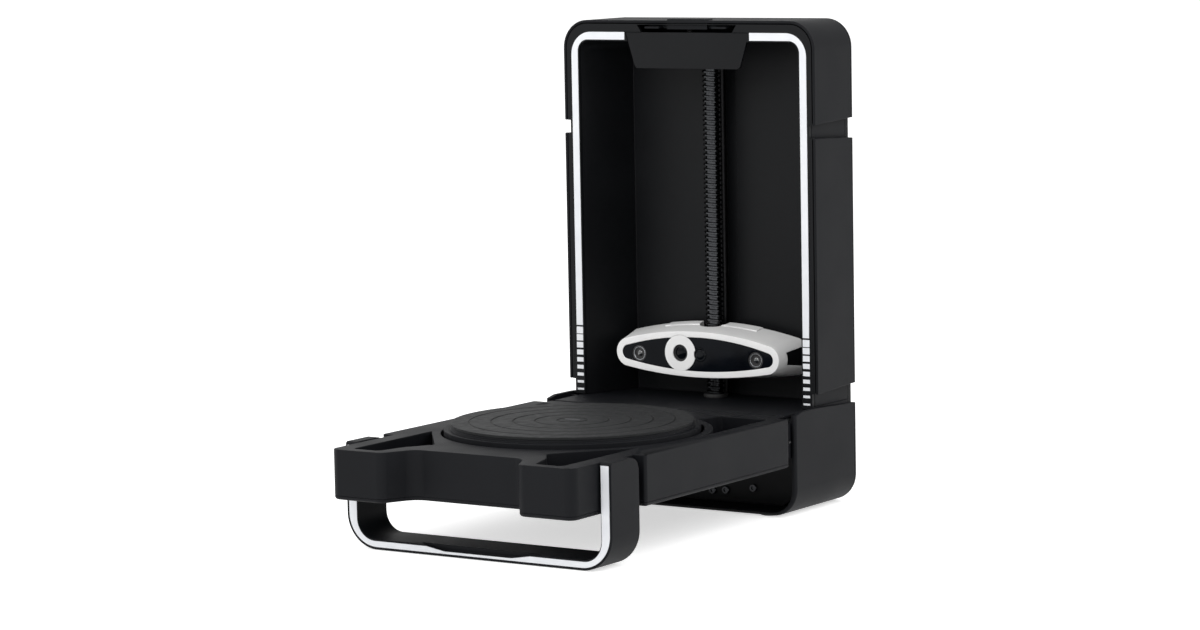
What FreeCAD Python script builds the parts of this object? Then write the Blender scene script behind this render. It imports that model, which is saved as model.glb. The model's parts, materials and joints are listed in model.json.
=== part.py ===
import FreeCAD, Part
import math
import os
import re
import Sketcher

Vector = FreeCAD.Vector
document = FreeCAD.newDocument("DesktopScanner")
sheet = document.addObject("Spreadsheet::Sheet", "Sizes")

# Two limits for picking edges: how straight along an axis, and how near to a level in mm.
parallel = 0.999
hairline = 0.01

# Driving sizes in millimetres. X runs across the scanner, Y from the bed to the back, Z up.
# Y counts from the front face of the tower, so the bed lies on its negative side.
sizes = {
    # tower outside
    "towerHalf": 105, "towerHeight": 345, "towerDepth": 54.5, "towerCorner": 20, "shellWall": 2,
    "bottomGap": 0.8, "rearThick": 4, "rearRound": 3.2, "rearSkin": 1.8, "rearRim": 6, "bezelThick": 3,
    "seamGap": 0.6,
    # gripping grooves in the tower sides
    "grooveDeep": 5, "grooveBacking": 2.3, "grooveTaper": 2.8, "grooveDrop": 81.6, "grooveRise": 2.3,
    "grooveHigh": 9.2,
    # scanning cavity
    "frameWide": 13.2, "frameTop": 15, "cavityTaper": 15.3, "backRoom": 6.2, "cavityCorner": 7.5,
    "channelHalf": 11, "channelRoom": 3.1, "channelWall": 1.1, "linerWall": 2,
    # stripe, level bars, nameplate and latch on the bezel
    "stripeSet": 1, "stripeWide": 5.5, "stripeCorner": 16.5, "stripeInnerCorner": 8.5, "stripeEnd": 123,
    "inlayDeep": 1, "barPitch": 5.4, "barFirst": 5, "barStep": 0.45, "barDrop": 3.7, "plateRise": 6.4,
    "plateTopHalf": 51.7, "plateHigh": 25.7, "plateLowHalf": 43.6, "plateFront": 0.5, "plateThick": 2.3,
    "plateRound": 3, "plateGap": 0.2, "stripeBreak": 0.6, "plateLegWide": 6, "plateLegSet": 4,
    "slotHalf": 41.5, "slotTaper": 3.4, "slotDrop": 3.2, "buttonHalf": 16.8, "buttonFront": 1.4,
    "buttonDeep": 8, "buttonProud": 1, "buttonRound": 0.8, "apronDrop": 2.4, "apronThick": 1.6,
    "hookInner": 22, "hookOuter": 34, "hookThick": 1.4, "hookReach": 1.6, "hookDrop": 1.2,
    "latchGap": 0.35, "springRadius": 3, "springWire": 0.5, "springRoom": 0.3,
    # base
    "baseTop": 72, "baseFront": 32, "topFront": 34.3, "topThick": 2, "topSet": 9, "cheekWall": 3.5,
    "cheekRound": 2.2, "cheekDip": 2.2, "cheekRise": 10, "floorThick": 2.5, "panelBack": 3,
    "panelThick": 2, "panelOuter": 54, "panelOuterHigh": 14.5, "panelMiddle": 31, "panelMiddleHigh": 11.4,
    "panelInner": 20, "panelInnerHigh": 10.6, "footRadius": 7, "footSet": 27, "footFront": 22,
    "footRear": 40, "edgeRoom": 0.2,
    # hinge of the bed
    "hingeBack": 17.8, "hingeDrop": 17, "hingeRadius": 3, "bracketSet": 18, "bracketThick": 8,
    "bracketHalf": 9, "armSet": 8.5, "armThick": 4.5, "eyeRadius": 12.3, "nubRadius": 0.7, "nubLong": 3,
    # bed
    "bedHigh": 34, "bedProud": 2, "neckFront": 44, "neckRear": 36, "neckSet": 9, "neckSweep": 25.2,
    "earLong": 71, "earSet": 9.5, "bedReach": 298, "earCorner": 7, "earWide": 42.5, "earSlope": 11,
    "middleSet": 23, "bedWall": 2.5, "coverThick": 2.5, "bedRound": 2.2, "earNose": 7, "earBlend": 12,
    "neckRound": 1,
    # pockets and well in the bed
    "tableSet": 18, "wellSet": 17, "ringWide": 6, "wellDeep": 13.5, "wellSkin": 2, "pocketDeep": 20,
    "pocketWall": 2, "pocketCorner": 3.5, "frontOuter": 23, "frontBend": 43.5, "frontWaist": 50,
    "frontNose": 61.5, "frontRim": 8, "frontWaistLong": 30, "frontNoseLong": 47.5, "frontTailLong": 97,
    "rearOuter": 12.5, "rearBend": 51, "rearNose": 57, "rearRimLong": 7.5, "rearNoseLong": 27,
    "rearTail": 17,
    # turntable
    "platterRoom": 2, "platterRise": 9, "platterThick": 7.5, "discSet": 4.7, "matRise": 4, "matThick": 2,
    "markLong": 12, "markWide": 2.5, "markThick": 0.3, "matRingFirst": 10.3, "matRingPitch": 15.1,
    "matGroove": 1.2, "matGrooveDeep": 0.4, "spindleRadius": 5, "spindleDrop": 12.5, "bearingRadius": 10,
    "bearingWall": 3, "running": 0.04, "bigPulley": 30, "smallPulley": 7, "pulleyOffset": 55,
    "pulleyRise": 1.8, "beltWide": 4, "beltThick": 1.2, "moving": 0.35, "motorSide": 35,
    "motorShaft": 2.5, "bedMotorHigh": 15, "shaftEnd": 1.5,
    # carrying loop
    "loopThick": 8.5, "loopWide": 33, "loopSet": 46.5, "pivotAhead": 5.8, "pivotDrop": 16, "loopBar": 7.4,
    "loopCorner": 24, "loopInnerCorner": 14, "loopRear": 9, "pivotRadius": 3.5, "pivotLong": 8.5,
    "bossRadius": 7, "loopPad": 0.4, "loopPadHalf": 12, "loopPadAcross": 62, "scoopHalf": 27,
    "scoopSlope": 28.5, "scoopDeep": 5, "scoopHigh": 3.7, "scoopTop": 1, "scoopCorner": 12,
    "loopStripeIn": 1.8, "loopStripeWide": 6.2, "loopStripeLow": 4, "loopStripeTop": 2.2,
    "loopStripeDeep": 0.8,
    # scanning head
    "headFront": 7.5, "headRoom": 12.3, "headRise": 32.4, "headWall": 2, "headSide": 14.5,
    "headGrowth": 8.8, "frontRise": 17.5, "frontDrop": 15.5, "frontEndLong": 8, "frontEndHigh": 10.1,
    "backRise": 21.6, "backDrop": 18.4, "backEndLong": 7.8, "backEndHigh": 13.2, "windowSide": 5,
    "windowRise": 13.2, "windowDrop": 11.1, "windowEndLong": 4.3, "windowEndHigh": 5, "windowThick": 1.6,
    "endTaper": 0.6, "windowSet": 0.2, "ledgeThick": 1.5, "ledgeWide": 1.4, "ventFront": 16,
    "ventTop": 5.1, "ventLow": 3.7, "ventRearTop": 8.5, "ventRearLow": 6.3, "ventSet": 1,
    "ventThick": 1.5, "rearPlate": 2, "notchTall": 60, "hatchHalf": 39, "hatchFront": 27,
    "hatchProud": 0.6, "cameraX": -14, "cameraRise": 1.5, "cameraRing": 12.9, "ringThick": 1,
    "cameraHole": 6.2, "lensRadius": 4.6, "lensBack": 1.2, "lensThick": 1.8, "laserSide": 14.3,
    "laserRise": -0.6, "laserRadius": 6, "knobX": 2.8, "knobRise": 1, "knobRadius": 5.1, "boardRoom": 8.5,
    "boardHigh": 14, "boardThick": 1.6, "boardFront": 14.5, "boardRise": 1,
    # lift
    "screwRoom": 17.9, "screwRadius": 6.8, "journalRadius": 4, "threadGap": 0.4, "guideRoom": 4.4,
    "guideRadius": 3, "bushWall": 1, "nutRadius": 8.5, "nutFlange": 10.1, "nutFlangeThick": 3,
    "carriageDrop": 10.4, "carriageHigh": 18, "carriageTail": 10.4, "carriageGap": 0.5, "notchWall": 2,
    "flangeRadius": 9, "flangeThick": 2.5, "flangeStep": 3, "liftMotorHigh": 32, "bracketDrop": 10,
    "bracketWall": 2, "couplingRadius": 7.5, "shaftSplit": 4.2,
    # board, sockets and fasteners
    "postHigh": 5, "postRadius": 3, "postHole": 1.3, "mainBoardHalf": 58, "boardWing": 12, "boardGap": 4,
    "boardInset": 6, "jackX": -34, "jackRadius": 5.4, "jackWall": 1, "jackLong": 14, "jackBore": 3.2,
    "jackBoreDeep": 12, "jackPin": 1, "socketX": -60, "socketHalf": 6, "socketHigh": 10.8,
    "socketLong": 20, "tongueHalf": 3, "socketSet": 0.5, "pinSet": 2, "boltRadius": 1.5, "boltHead": 2.9,
    "boltHeadThick": 1.6, "boltLong": 8, "boltSide": 19, "boltLow": 18, "boltMiddle": 200, "slipFit": 0.1,
}
# Sizes that follow from the ones above.
following = {
    "grooveFloor": "towerHalf - grooveDeep", "upperGrooveLow": "towerHeight - grooveDrop",
    "lowerGrooveLow": "baseTop + grooveRise", "cavityHalf": "towerHalf - frameWide",
    "cavityTop": "towerHeight - frameTop", "cavityBackHalf": "cavityHalf - cavityTaper",
    "cavityBack": "towerDepth - backRoom", "channelBack": "towerDepth - channelRoom",
    "stripeInner": "cavityHalf + stripeSet", "stripeTop": "cavityTop + stripeSet + stripeWide",
    "plateTop": "cavityTop + plateRise", "plateLow": "plateTop - plateHigh",
    "slotHigh": "towerHeight - slotDrop", "topHalf": "towerHalf - topSet",
    "footAcross": "towerHalf - footSet", "boltAcross": "towerHalf - boltSide",
    "hingeHeight": "baseTop - hingeDrop", "hingeInner": "towerHalf - bracketSet",
    "armInner": "towerHalf - armSet", "bedHalf": "towerHalf + bedProud",
    "neckHalf": "towerHalf - neckSet", "bedLow": "baseTop - bedHigh", "earStart": "bedReach - earLong",
    "earHalf": "bedHalf - earSet", "earInner": "earHalf - earWide", "middleHalf": "earInner - earSlope",
    "middleFront": "bedReach - middleSet", "tableCentre": "(neckFront + bedReach) / 2 - tableSet",
    "wellRadius": "bedHalf - wellSet", "ringRadius": "wellRadius + ringWide",
    "wellFloor": "baseTop - wellDeep", "pocketFloor": "baseTop - pocketDeep",
    "platterRadius": "wellRadius - platterRoom", "platterLow": "wellFloor + platterRise",
    "platterTop": "platterLow + platterThick", "discRadius": "platterRadius - discSet",
    "matTop": "platterTop + matRise", "spindleLow": "wellFloor - spindleDrop",
    "pulleyLow": "wellFloor + pulleyRise", "loopMiddle": "bedReach - loopSet",
    "loopPivot": "loopMiddle + pivotAhead", "loopPivotHeight": "baseTop - pivotDrop",
    "pivotInner": "earHalf - pivotLong", "headRear": "cavityBack - headRoom",
    "headMiddle": "baseTop + headRise", "backHalf": "cavityHalf - headSide",
    "frontHalf": "backHalf - headGrowth", "frontTop": "headMiddle + frontRise",
    "frontLow": "headMiddle - frontDrop", "frontEnd": "frontHalf - frontEndLong",
    "backTop": "headMiddle + backRise", "backLow": "headMiddle - backDrop",
    "backEnd": "backHalf - backEndLong", "windowHalf": "frontHalf - windowSide",
    "windowTop": "headMiddle + windowRise", "windowLow": "headMiddle - windowDrop",
    "windowEnd": "windowHalf - windowEndLong", "boardHalf": "frontHalf - boardRoom",
    "cameraZ": "headMiddle + cameraRise", "laserX": "windowHalf - laserSide",
    "laserZ": "headMiddle + laserRise", "knobZ": "headMiddle + knobRise",
    "carriageLow": "headMiddle - carriageDrop", "screwBack": "channelBack - screwRoom",
    "guideBack": "channelBack - guideRoom",
}
rows = [(word, str(size)) for word, size in sizes.items()]
rows += [(word, "=" + formula) for word, formula in following.items()]
for row, (word, content) in enumerate(rows, start=1):
    sheet.set("A%d" % row, word)
    sheet.set("B%d" % row, content)
    sheet.setAlias("B%d" % row, word)
document.recompute()
words = {word for word, content in rows}

nodes = []


def full(text):
    # Each size's word in an expression becomes its cell of the sheet.
    return re.sub(r"[A-Za-z]\w*", lambda word: "Sizes." + word[0] if word[0] in words else word[0], text)


def value(text):
    return float(sheet.evalExpression(full(text)))


def span(low, high):
    return full("(%s) - (%s)" % (high, low))


def node(name, made):
    # Y shifts so that the origin lies under the middle of the whole scanner.
    made.Label = name
    made.setExpression("Placement.Base.y", full("(bedReach - towerDepth) / 2"))
    nodes.append(made)
    return made


# Blocks, rods and booleans

def block(name, x, y, z):
    made = document.addObject("Part::Box", name)
    for side, (low, high) in zip(("Length", "Width", "Height"), (x, y, z)):
        made.setExpression(side, span(low, high))
    for letter, (low, high) in zip("xyz", (x, y, z)):
        made.setExpression("Placement.Base." + letter, full(low))
    return made


turns = {
    "x": FreeCAD.Rotation(Vector(0, 1, 0), 90),
    "y": FreeCAD.Rotation(Vector(1, 0, 0), -90),
    "z": FreeCAD.Rotation(),
}


def rod(name, axis, radius, across, low, high):
    # A cylinder along an axis. across gives its centre on the two other axes.
    made = document.addObject("Part::Cylinder", name)
    made.Placement = FreeCAD.Placement(Vector(), turns[axis])
    made.setExpression("Radius", full(radius))
    made.setExpression("Height", span(low, high))
    others = [letter for letter in "xyz" if letter != axis]
    for letter, text in zip(others, across):
        made.setExpression("Placement.Base." + letter, full(text))
    made.setExpression("Placement.Base." + axis, full(low))
    return made


def fuse(name, *shapes):
    made = document.addObject("Part::MultiFuse", name)
    made.Shapes = list(shapes)
    return made


def cut(name, base, *tools):
    made = document.addObject("Part::Cut", name)
    made.Base = base
    made.Tool = tools[0] if len(tools) == 1 else fuse(name + "Tools", *tools)
    return made


def group(name, *shapes):
    made = document.addObject("Part::Compound", name)
    made.Links = list(shapes)
    return made


def pair(name, made):
    # The piece and its mirror image on the other side of the middle plane.
    other = document.addObject("Part::Mirroring", name + "Mirrored")
    other.Source = made
    other.Normal = Vector(1, 0, 0)
    return group(name, made, other)


def tube(name, axis, outer, inner, across, low, high):
    return cut(name, rod(name + "Outer", axis, outer, across, low, high),
               rod(name + "Bore", axis, inner, across, low, high))


# Bodies with sketches and features

planes = {"x": "YZ_Plane", "y": "XZ_Plane", "z": "XY_Plane"}


def body(name):
    return document.addObject("PartDesign::Body", name)


def circle(across, up, radius):
    return (across, up, radius)


def mirrored(loop):
    # The same loop with the sign of its first coordinate turned.
    if isinstance(loop, tuple):
        return ("-(%s)" % loop[0], loop[1], loop[2])
    return [("-(%s)" % across, up) for across, up in loop]


def both(*halves):
    # Joins the right half of an outline to its mirror image.
    right = list(halves)
    return right + mirrored(right)[::-1]


def oblong(low, high, bottom, top):
    return [(low, bottom), (high, bottom), (high, top), (low, top)]


def holdPoint(drawn, curve, end, across, up):
    for kind, text in (("DistanceX", across), ("DistanceY", up)):
        held = drawn.addConstraint(Sketcher.Constraint(kind, -1, 1, curve, end, value(text)))
        drawn.setExpression("Constraints[%d]" % held, full(text))


def drawLoop(drawn, loop):
    first = drawn.GeometryCount
    if isinstance(loop, tuple):
        across, up, radius = loop
        centre = Vector(value(across), value(up), 0)
        drawn.addGeometry(Part.Circle(centre, Vector(0, 0, 1), value(radius)), False)
        holdPoint(drawn, first, 3, across, up)
        held = drawn.addConstraint(Sketcher.Constraint("Radius", first, value(radius)))
        drawn.setExpression("Constraints[%d]" % held, full(radius))
        return
    spots = [Vector(value(across), value(up), 0) for across, up in loop]
    count = len(loop)
    lines = [Part.LineSegment(spots[turn], spots[(turn + 1) % count]) for turn in range(count)]
    drawn.addGeometry(lines, False)
    for turn in range(count):
        drawn.addConstraint(Sketcher.Constraint("Coincident", first + turn, 2, first + (turn + 1) % count, 1))
    for turn, (across, up) in enumerate(loop):
        holdPoint(drawn, first + turn, 1, across, up)


def sketch(owner, axis, level, loops):
    drawn = owner.newObject("Sketcher::SketchObject", owner.Name + "Sketch")
    plane = [face for face in owner.Origin.OriginFeatures if face.Role == planes[axis]][0]
    drawn.AttachmentSupport = [(plane, "")]
    drawn.MapMode = "FlatFace"
    sign = "-" if axis == "y" else ""
    drawn.setExpression("AttachmentOffset.Base.z", full("%s(%s)" % (sign, level)))
    for loop in loops:
        drawLoop(drawn, loop)
    return drawn


def feature(owner, kind, axis, low, high, loops, reversed):
    before = owner.Shape.Volume if owner.Tip else 0
    drawn = sketch(owner, axis, low, loops)
    made = owner.newObject("PartDesign::" + kind, owner.Name + kind)
    made.Profile = drawn
    made.setExpression("Length", span(low, high))
    made.Reversed = reversed
    owner.Tip = made
    document.recompute()
    if abs(owner.Shape.Volume - before) < 0.001:
        raise ValueError(made.Name + " changes nothing")
    return made


def pad(owner, axis, low, high, *loops):
    return feature(owner, "Pad", axis, low, high, loops, axis == "y")


def pocket(owner, axis, low, high, *loops):
    return feature(owner, "Pocket", axis, low, high, loops, axis != "y")


def along(axis, **levels):
    # Picks the straight edges along an axis whose middles lie at the given |x|, y or z.
    wanted = {letter: value(text) for letter, text in levels.items()}

    def test(edge):
        if edge.Curve.TypeId != "Part::GeomLine":
            return False
        if abs(getattr(edge.Curve.Direction, axis)) < parallel:
            return False
        middle = edge.CenterOfMass
        placed = {"x": abs(middle.x), "y": middle.y, "z": middle.z}
        return all(abs(placed[letter] - size) < 2 * hairline for letter, size in wanted.items())
    return test


def roundEdges(owner, radius, *tests):
    last = owner.Tip
    numbered = enumerate(last.Shape.Edges, start=1)
    names = ["Edge%d" % number for number, edge in numbered if any(test(edge) for test in tests)]
    if not names:
        raise ValueError(owner.Name + ": no edge to round")
    made = owner.newObject("PartDesign::Fillet", owner.Name + "Fillet")
    made.Base = (last, names)
    made.setExpression("Radius", full(radius))
    owner.Tip = made
    document.recompute()
    return made


# Tower

def grooveLoop(low, beyond="0"):
    # A gripping groove seen from the side: it widens a little towards the back.
    return [("-1", low), ("-1", low + " + grooveHigh"),
            ("towerDepth + 1", low + " + grooveHigh + grooveTaper"), ("towerDepth + 1", low + " - grooveTaper")]


def cutGrooves(owner, *lows):
    for low in lows:
        pocket(owner, "x", "grooveFloor", "towerHalf + 1", grooveLoop(low))
        pocket(owner, "x", "-(towerHalf + 1)", "-grooveFloor", grooveLoop(low))


backStart = "towerDepth - rearThick"
shellFoot = "lowerGrooveLow"
bezelHalf = "towerHalf - shellWall - seamGap"
bezelTop = "towerHeight - shellWall - seamGap"
backing = "grooveFloor - grooveBacking"


def towerShell():
    made = body("tower_shell")
    inner = "towerHalf - shellWall"
    roof = "towerHeight - shellWall"
    pad(made, "y", "0", backStart, both((inner, roof), (inner, shellFoot), ("towerHalf", shellFoot),
                                        ("towerHalf", "towerHeight")))
    roundEdges(made, "towerCorner", along("y", x="towerHalf", z="towerHeight"))
    roundEdges(made, "towerCorner - shellWall", along("y", x=inner, z=roof))
    for low, bottom in (("upperGrooveLow", "upperGrooveLow - grooveTaper - grooveBacking"),
                        ("lowerGrooveLow", shellFoot)):
        top = low + " + grooveHigh + grooveTaper + grooveBacking"
        wide = oblong(backing, "towerHalf - shellWall / 2", bottom, top)
        pad(made, "y", "bezelThick + seamGap", backStart, wide, mirrored(wide))
    cutGrooves(made, "upperGrooveLow", "lowerGrooveLow")
    buttonHole = oblong("-(buttonHalf + latchGap)", "buttonHalf + latchGap",
                        "buttonFront - latchGap", "buttonFront + buttonDeep + latchGap")
    pocket(made, "z", "towerHeight - shellWall - 1", "towerHeight + 1", buttonHole)
    return node("tower_shell", made)


def stripeLoop():
    # The right half of the stripe: up the side and in towards the nameplate.
    outer = "stripeInner + stripeWide"
    low = "stripeTop - stripeWide"
    return [("stripeInner", "stripeEnd"), (outer, "stripeEnd"), (outer, "stripeTop"),
            ("plateTopHalf + stripeBreak", "stripeTop"), ("plateTopHalf + stripeBreak", low),
            ("stripeInner", low)]


def roundStripe(owner):
    roundEdges(owner, "stripeCorner", along("y", x="stripeInner + stripeWide", z="stripeTop"))
    roundEdges(owner, "stripeInnerCorner", along("y", x="stripeInner", z="stripeTop - stripeWide"))


def barLoops():
    # Nine bars below the stripe, each one lower than the bar above it.
    loops = []
    for count in range(9):
        middle = "stripeEnd - barDrop - %d * barPitch" % count
        half = "(barFirst - %d * barStep) / 2" % count
        loops.append(oblong("stripeInner", "stripeInner + stripeWide",
                            "%s - %s" % (middle, half), "%s + %s" % (middle, half)))
    return loops


def plateLoop(gap):
    return both(("plateLowHalf + " + gap, "plateLow - " + gap), ("plateTopHalf + " + gap, "plateTop + " + gap))


def frontBezel():
    made = body("front_bezel")
    foot = "baseTop + seamGap"
    step = shellFoot + " + seamGap"
    side = "towerHalf - cheekWall - seamGap"
    pad(made, "y", "0", "bezelThick", both(
        ("cavityHalf", "cavityTop"), ("cavityHalf", foot), (side, foot), (side, step), (bezelHalf, step),
        (bezelHalf, bezelTop)))
    bars = barLoops()
    pocket(made, "y", "0", "inlayDeep", stripeLoop(), mirrored(stripeLoop()))
    roundStripe(made)
    roundEdges(made, "towerCorner - shellWall - seamGap", along("y", x=bezelHalf, z=bezelTop))
    roundEdges(made, "cavityCorner", along("y", x="cavityHalf", z="cavityTop"))
    pocket(made, "y", "0", "inlayDeep", *bars, *[mirrored(bar) for bar in bars])
    pocket(made, "y", "0", "bezelThick", plateLoop("plateGap"))
    pocket(made, "y", "0", "bezelThick", both(("slotHalf - slotTaper", "plateTop"), ("slotHalf", "slotHigh")))
    buttonRoom = oblong("-(buttonHalf + latchGap)", "buttonHalf + latchGap", "slotHigh - 1", "towerHeight")
    pocket(made, "y", "buttonFront - latchGap", "bezelThick", buttonRoom)
    for low in ("upperGrooveLow", "lowerGrooveLow"):
        notch = oblong("grooveFloor", "towerHalf", low, low + " + grooveHigh")
        pocket(made, "y", "0", "bezelThick", notch, mirrored(notch))
    return node("front_bezel", made)


def stripeInlay():
    made = body("stripe_half")
    pad(made, "y", "0", "inlayDeep", stripeLoop())
    roundStripe(made)
    return node("stripe_inlay", pair("stripe_inlay", made))


def levelBars():
    made = []
    for count, loop in enumerate(barLoops()):
        (low, bottom), (high, top) = loop[0], loop[2]
        made.append(block("level_bar_%d" % count, (low, high), ("0", "inlayDeep"), (bottom, top)))
    return node("level_bars", pair("level_bars", group("level_bars_right", *made)))


def nameplate():
    made = body("nameplate")
    pad(made, "y", "plateFront", "plateFront + plateThick", plateLoop("0"))
    roundEdges(made, "plateRound", along("y", x="plateLowHalf", z="plateLow"))
    return node("nameplate", made)


def plateBracket():
    # The nameplate's two legs, which hold it under the roof of the cavity.
    outer = "plateLowHalf - plateLegSet"
    back = "plateFront + plateThick"
    leg = block("plate_leg", (outer + " - plateLegWide", outer), (back, back + " + plateLegSet"),
                ("plateLow + plateLegSet", "cavityTop"))
    return node("nameplate_bracket", pair("nameplate_bracket", leg))


def screwAndGuide():
    # The two holes for the lead screw's bearing and the guide rod.
    return [circle("0", "screwBack", "flangeRadius - flangeStep"),
            circle("0", "guideBack", "guideRadius + running")]


def linerEdge(side, back, half, deep):
    return both((side, "bezelThick"), (back, "cavityBack" + deep), (half, "cavityBack" + deep),
                (half, "channelBack" + (" + channelWall" if deep else "")))


def cavityLiner():
    inner = linerEdge("cavityHalf", "cavityBackHalf", "channelHalf", "")
    outer = linerEdge("cavityHalf + linerWall", "cavityBackHalf + linerWall", "channelHalf + channelWall",
                      " + linerWall")
    made = body("cavity_liner")
    pad(made, "z", "baseTop", "cavityTop + linerWall", inner[:4] + inner[4:] + outer[::-1])
    pad(made, "z", "cavityTop", "cavityTop + linerWall", outer)
    side = value("(cavityHalf + cavityBackHalf) / 2")
    top = value("cavityTop")
    roundEdges(made, "cavityCorner", lambda edge: abs(abs(edge.CenterOfMass.x) - side) < 0.1
               and abs(edge.CenterOfMass.z - top) < hairline)
    pocket(made, "z", "cavityTop", "cavityTop + linerWall", *screwAndGuide())
    return node("cavity_liner", made)


def rearCover():
    made = body("rear_cover")
    outline = both(("towerHalf", "bottomGap"), ("towerHalf", "towerHeight"))
    pad(made, "y", backStart, "towerDepth", outline)
    roundEdges(made, "towerCorner", along("y", x="towerHalf"))
    rim = [edge for edge in made.Tip.Shape.Edges if abs(edge.CenterOfMass.y - value("towerDepth")) < hairline]
    picked = {edge.hashCode() for edge in rim}
    roundEdges(made, "rearRound", lambda edge: edge.hashCode() in picked)
    hollow = both(("towerHalf - rearRim", "bottomGap + rearRim"),
                  ("towerHalf - rearRim", "towerHeight - rearRim"))
    pocket(made, "y", backStart, "towerDepth - rearSkin", hollow)
    cutGrooves(made, "upperGrooveLow", "lowerGrooveLow")
    pocket(made, "y", backStart, "towerDepth", circle("jackX", socketLevel, "jackRadius + slipFit"))
    pocket(made, "y", backStart, "towerDepth",
           oblong("socketX - socketHalf - slipFit", "socketX + socketHalf + slipFit",
                  boardTop + " - slipFit", boardTop + " + socketHigh + slipFit"))
    pad(made, "y", backStart, "towerDepth - rearSkin / 2", *rearBoltLoops("boltHead + shellWall"))
    pocket(made, "y", backStart, "towerDepth", *rearBoltLoops("boltRadius + slipFit"))
    pocket(made, "y", rearBoltFace, "towerDepth", *rearBoltLoops("boltHead + slipFit"))
    return node("rear_cover", made)


rearBoltFace = "towerDepth - boltHeadThick - slipFit"
rearBolts = [(across, up) for across in ("boltAcross", "-boltAcross")
             for up in ("boltLow", "boltMiddle", "towerHeight - boltSide")]


def rearBoltLoops(radius):
    return [circle(across, up, radius) for across, up in rearBolts]


def bolt(name, axis, across, face, point):
    # A cap screw whose head sits outside face, with its point at point.
    sign = "+" if value(point) < value(face) else "-"
    top = "%s %s boltHeadThick" % (face, sign)
    low, high = (face, top) if value(face) < value(top) else (top, face)
    head = rod(name + "_head", axis, "boltHead", across, low, high)
    start, end = (point, face) if value(point) < value(face) else (face, point)
    shank = rod(name + "_shank", axis, "boltRadius", across, start, end)
    middle = "%s %s boltHeadThick / 2" % (face, sign)
    low, high = (middle, top) if value(middle) < value(top) else (top, middle)
    socket = rod(name + "_socket", axis, "boltRadius", across, low, high)
    return cut(name, fuse(name + "_whole", head, shank), socket)


def rearScrews():
    made = [bolt("rear_screw_%d" % count, "y", spot, rearBoltFace, backStart)
            for count, spot in enumerate(rearBolts)]
    return node("rear_cover_screws", group("rear_cover_screws", *made))


# Base

boardTop = "bottomGap + floorThick + postHigh + boardThick"
socketLevel = boardTop + " + socketHigh / 2"


def baseShell():
    made = body("base_shell")
    foot = "bottomGap + floorThick"
    pad(made, "y", "-baseFront", backStart, [
        ("-towerHalf", "bottomGap"), ("towerHalf", "bottomGap"), ("towerHalf", shellFoot),
        ("towerHalf - cheekWall", shellFoot), ("towerHalf - cheekWall", foot),
        ("-(towerHalf - cheekWall)", foot), ("-(towerHalf - cheekWall)", shellFoot),
        ("-towerHalf", shellFoot)])
    roundEdges(made, "towerCorner", along("y", x="towerHalf", z="bottomGap"))
    roundEdges(made, "towerCorner - cheekWall", along("y", x="towerHalf - cheekWall", z=foot))
    roundEdges(made, "cheekRound", along("z", x="towerHalf", y="-baseFront"))
    dip = [("-baseFront - 1", shellFoot + " - cheekDip"), ("-baseFront + cheekRise", shellFoot),
           ("-baseFront + cheekRise", shellFoot + " + 1"), ("-baseFront - 1", shellFoot + " + 1")]
    pocket(made, "x", "-(towerHalf + 1)", "towerHalf + 1", dip)
    wide = oblong(backing, "towerHalf - cheekWall / 2",
                  "lowerGrooveLow - grooveTaper - grooveBacking", shellFoot)
    pad(made, "y", "bezelThick + seamGap", backStart, wide, mirrored(wide))
    cutGrooves(made, "lowerGrooveLow")
    posts = [circle(across, up, "postRadius") for across, up in boardPosts]
    pad(made, "z", "bottomGap + floorThick / 2", foot + " + postHigh", *posts)
    holes = [circle("-hingeBack", "hingeHeight", "hingeRadius + running")]
    for low, high in (("towerHalf - cheekWall", "towerHalf - cheekWall / 2"),
                      ("-(towerHalf - cheekWall / 2)", "-(towerHalf - cheekWall)")):
        pocket(made, "x", low, high, *holes)
    return node("base_shell", made)


boardPosts = [("mainBoardHalf - boardInset", "boardGap + boardInset"),
              ("-(mainBoardHalf - boardInset)", "boardGap + boardInset"),
              ("mainBoardHalf - boardInset", "towerDepth - 2 * boardInset"),
              ("-(mainBoardHalf - 3 * boardInset)", "towerDepth - 2 * boardInset")]


def baseTopPlate():
    made = body("base_top_plate")
    pad(made, "z", "baseTop - topThick", "baseTop",
        both(("topHalf", "-topFront"), ("topHalf", backStart + " - edgeRoom")))
    roundEdges(made, "topThick / 2", along("x", y="-topFront", z="baseTop"))
    pocket(made, "z", "baseTop - topThick", "baseTop", *screwAndGuide())
    return node("base_top_plate", made)


panelBolts = [(side + across, up) for side in ("", "-") for across, up in (
    ("panelOuter", "panelOuterHigh"), ("panelInner", "panelInnerHigh"), ("panelMiddle", "panelMiddleHigh"))]


def baseFrontPanel():
    made = body("base_front_panel")
    side = "towerHalf - cheekWall - slipFit"
    low = "bottomGap + floorThick"
    inner = "towerCorner - cheekWall"
    pad(made, "y", "-(panelBack + panelThick)", "-panelBack", both(
        (side + " - " + inner, low), (side, low + " + " + inner), (side, "baseTop"),
        ("topHalf + slipFit", "baseTop"), ("topHalf + slipFit", "baseTop - topThick")))
    pocket(made, "y", "-(panelBack + panelThick)", "-panelBack",
           *[circle(across, up, "boltRadius + slipFit") for across, up in panelBolts])
    return node("base_front_panel", made)


def panelScrews():
    made = [bolt("panel_screw_%d" % count, "y", spot, "-(panelBack + panelThick)",
                 "-(panelBack + panelThick) + boltLong") for count, spot in enumerate(panelBolts)]
    return node("panel_screws", group("panel_screws", *made))


def baseFeet():
    made = []
    for count, place in enumerate(("-footFront", "footRear")):
        made.append(rod("base_foot_%d" % count, "z", "footRadius", ("footAcross", place), "0", "bottomGap"))
    return node("base_feet", pair("base_feet", group("base_feet_right", *made)))


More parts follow.
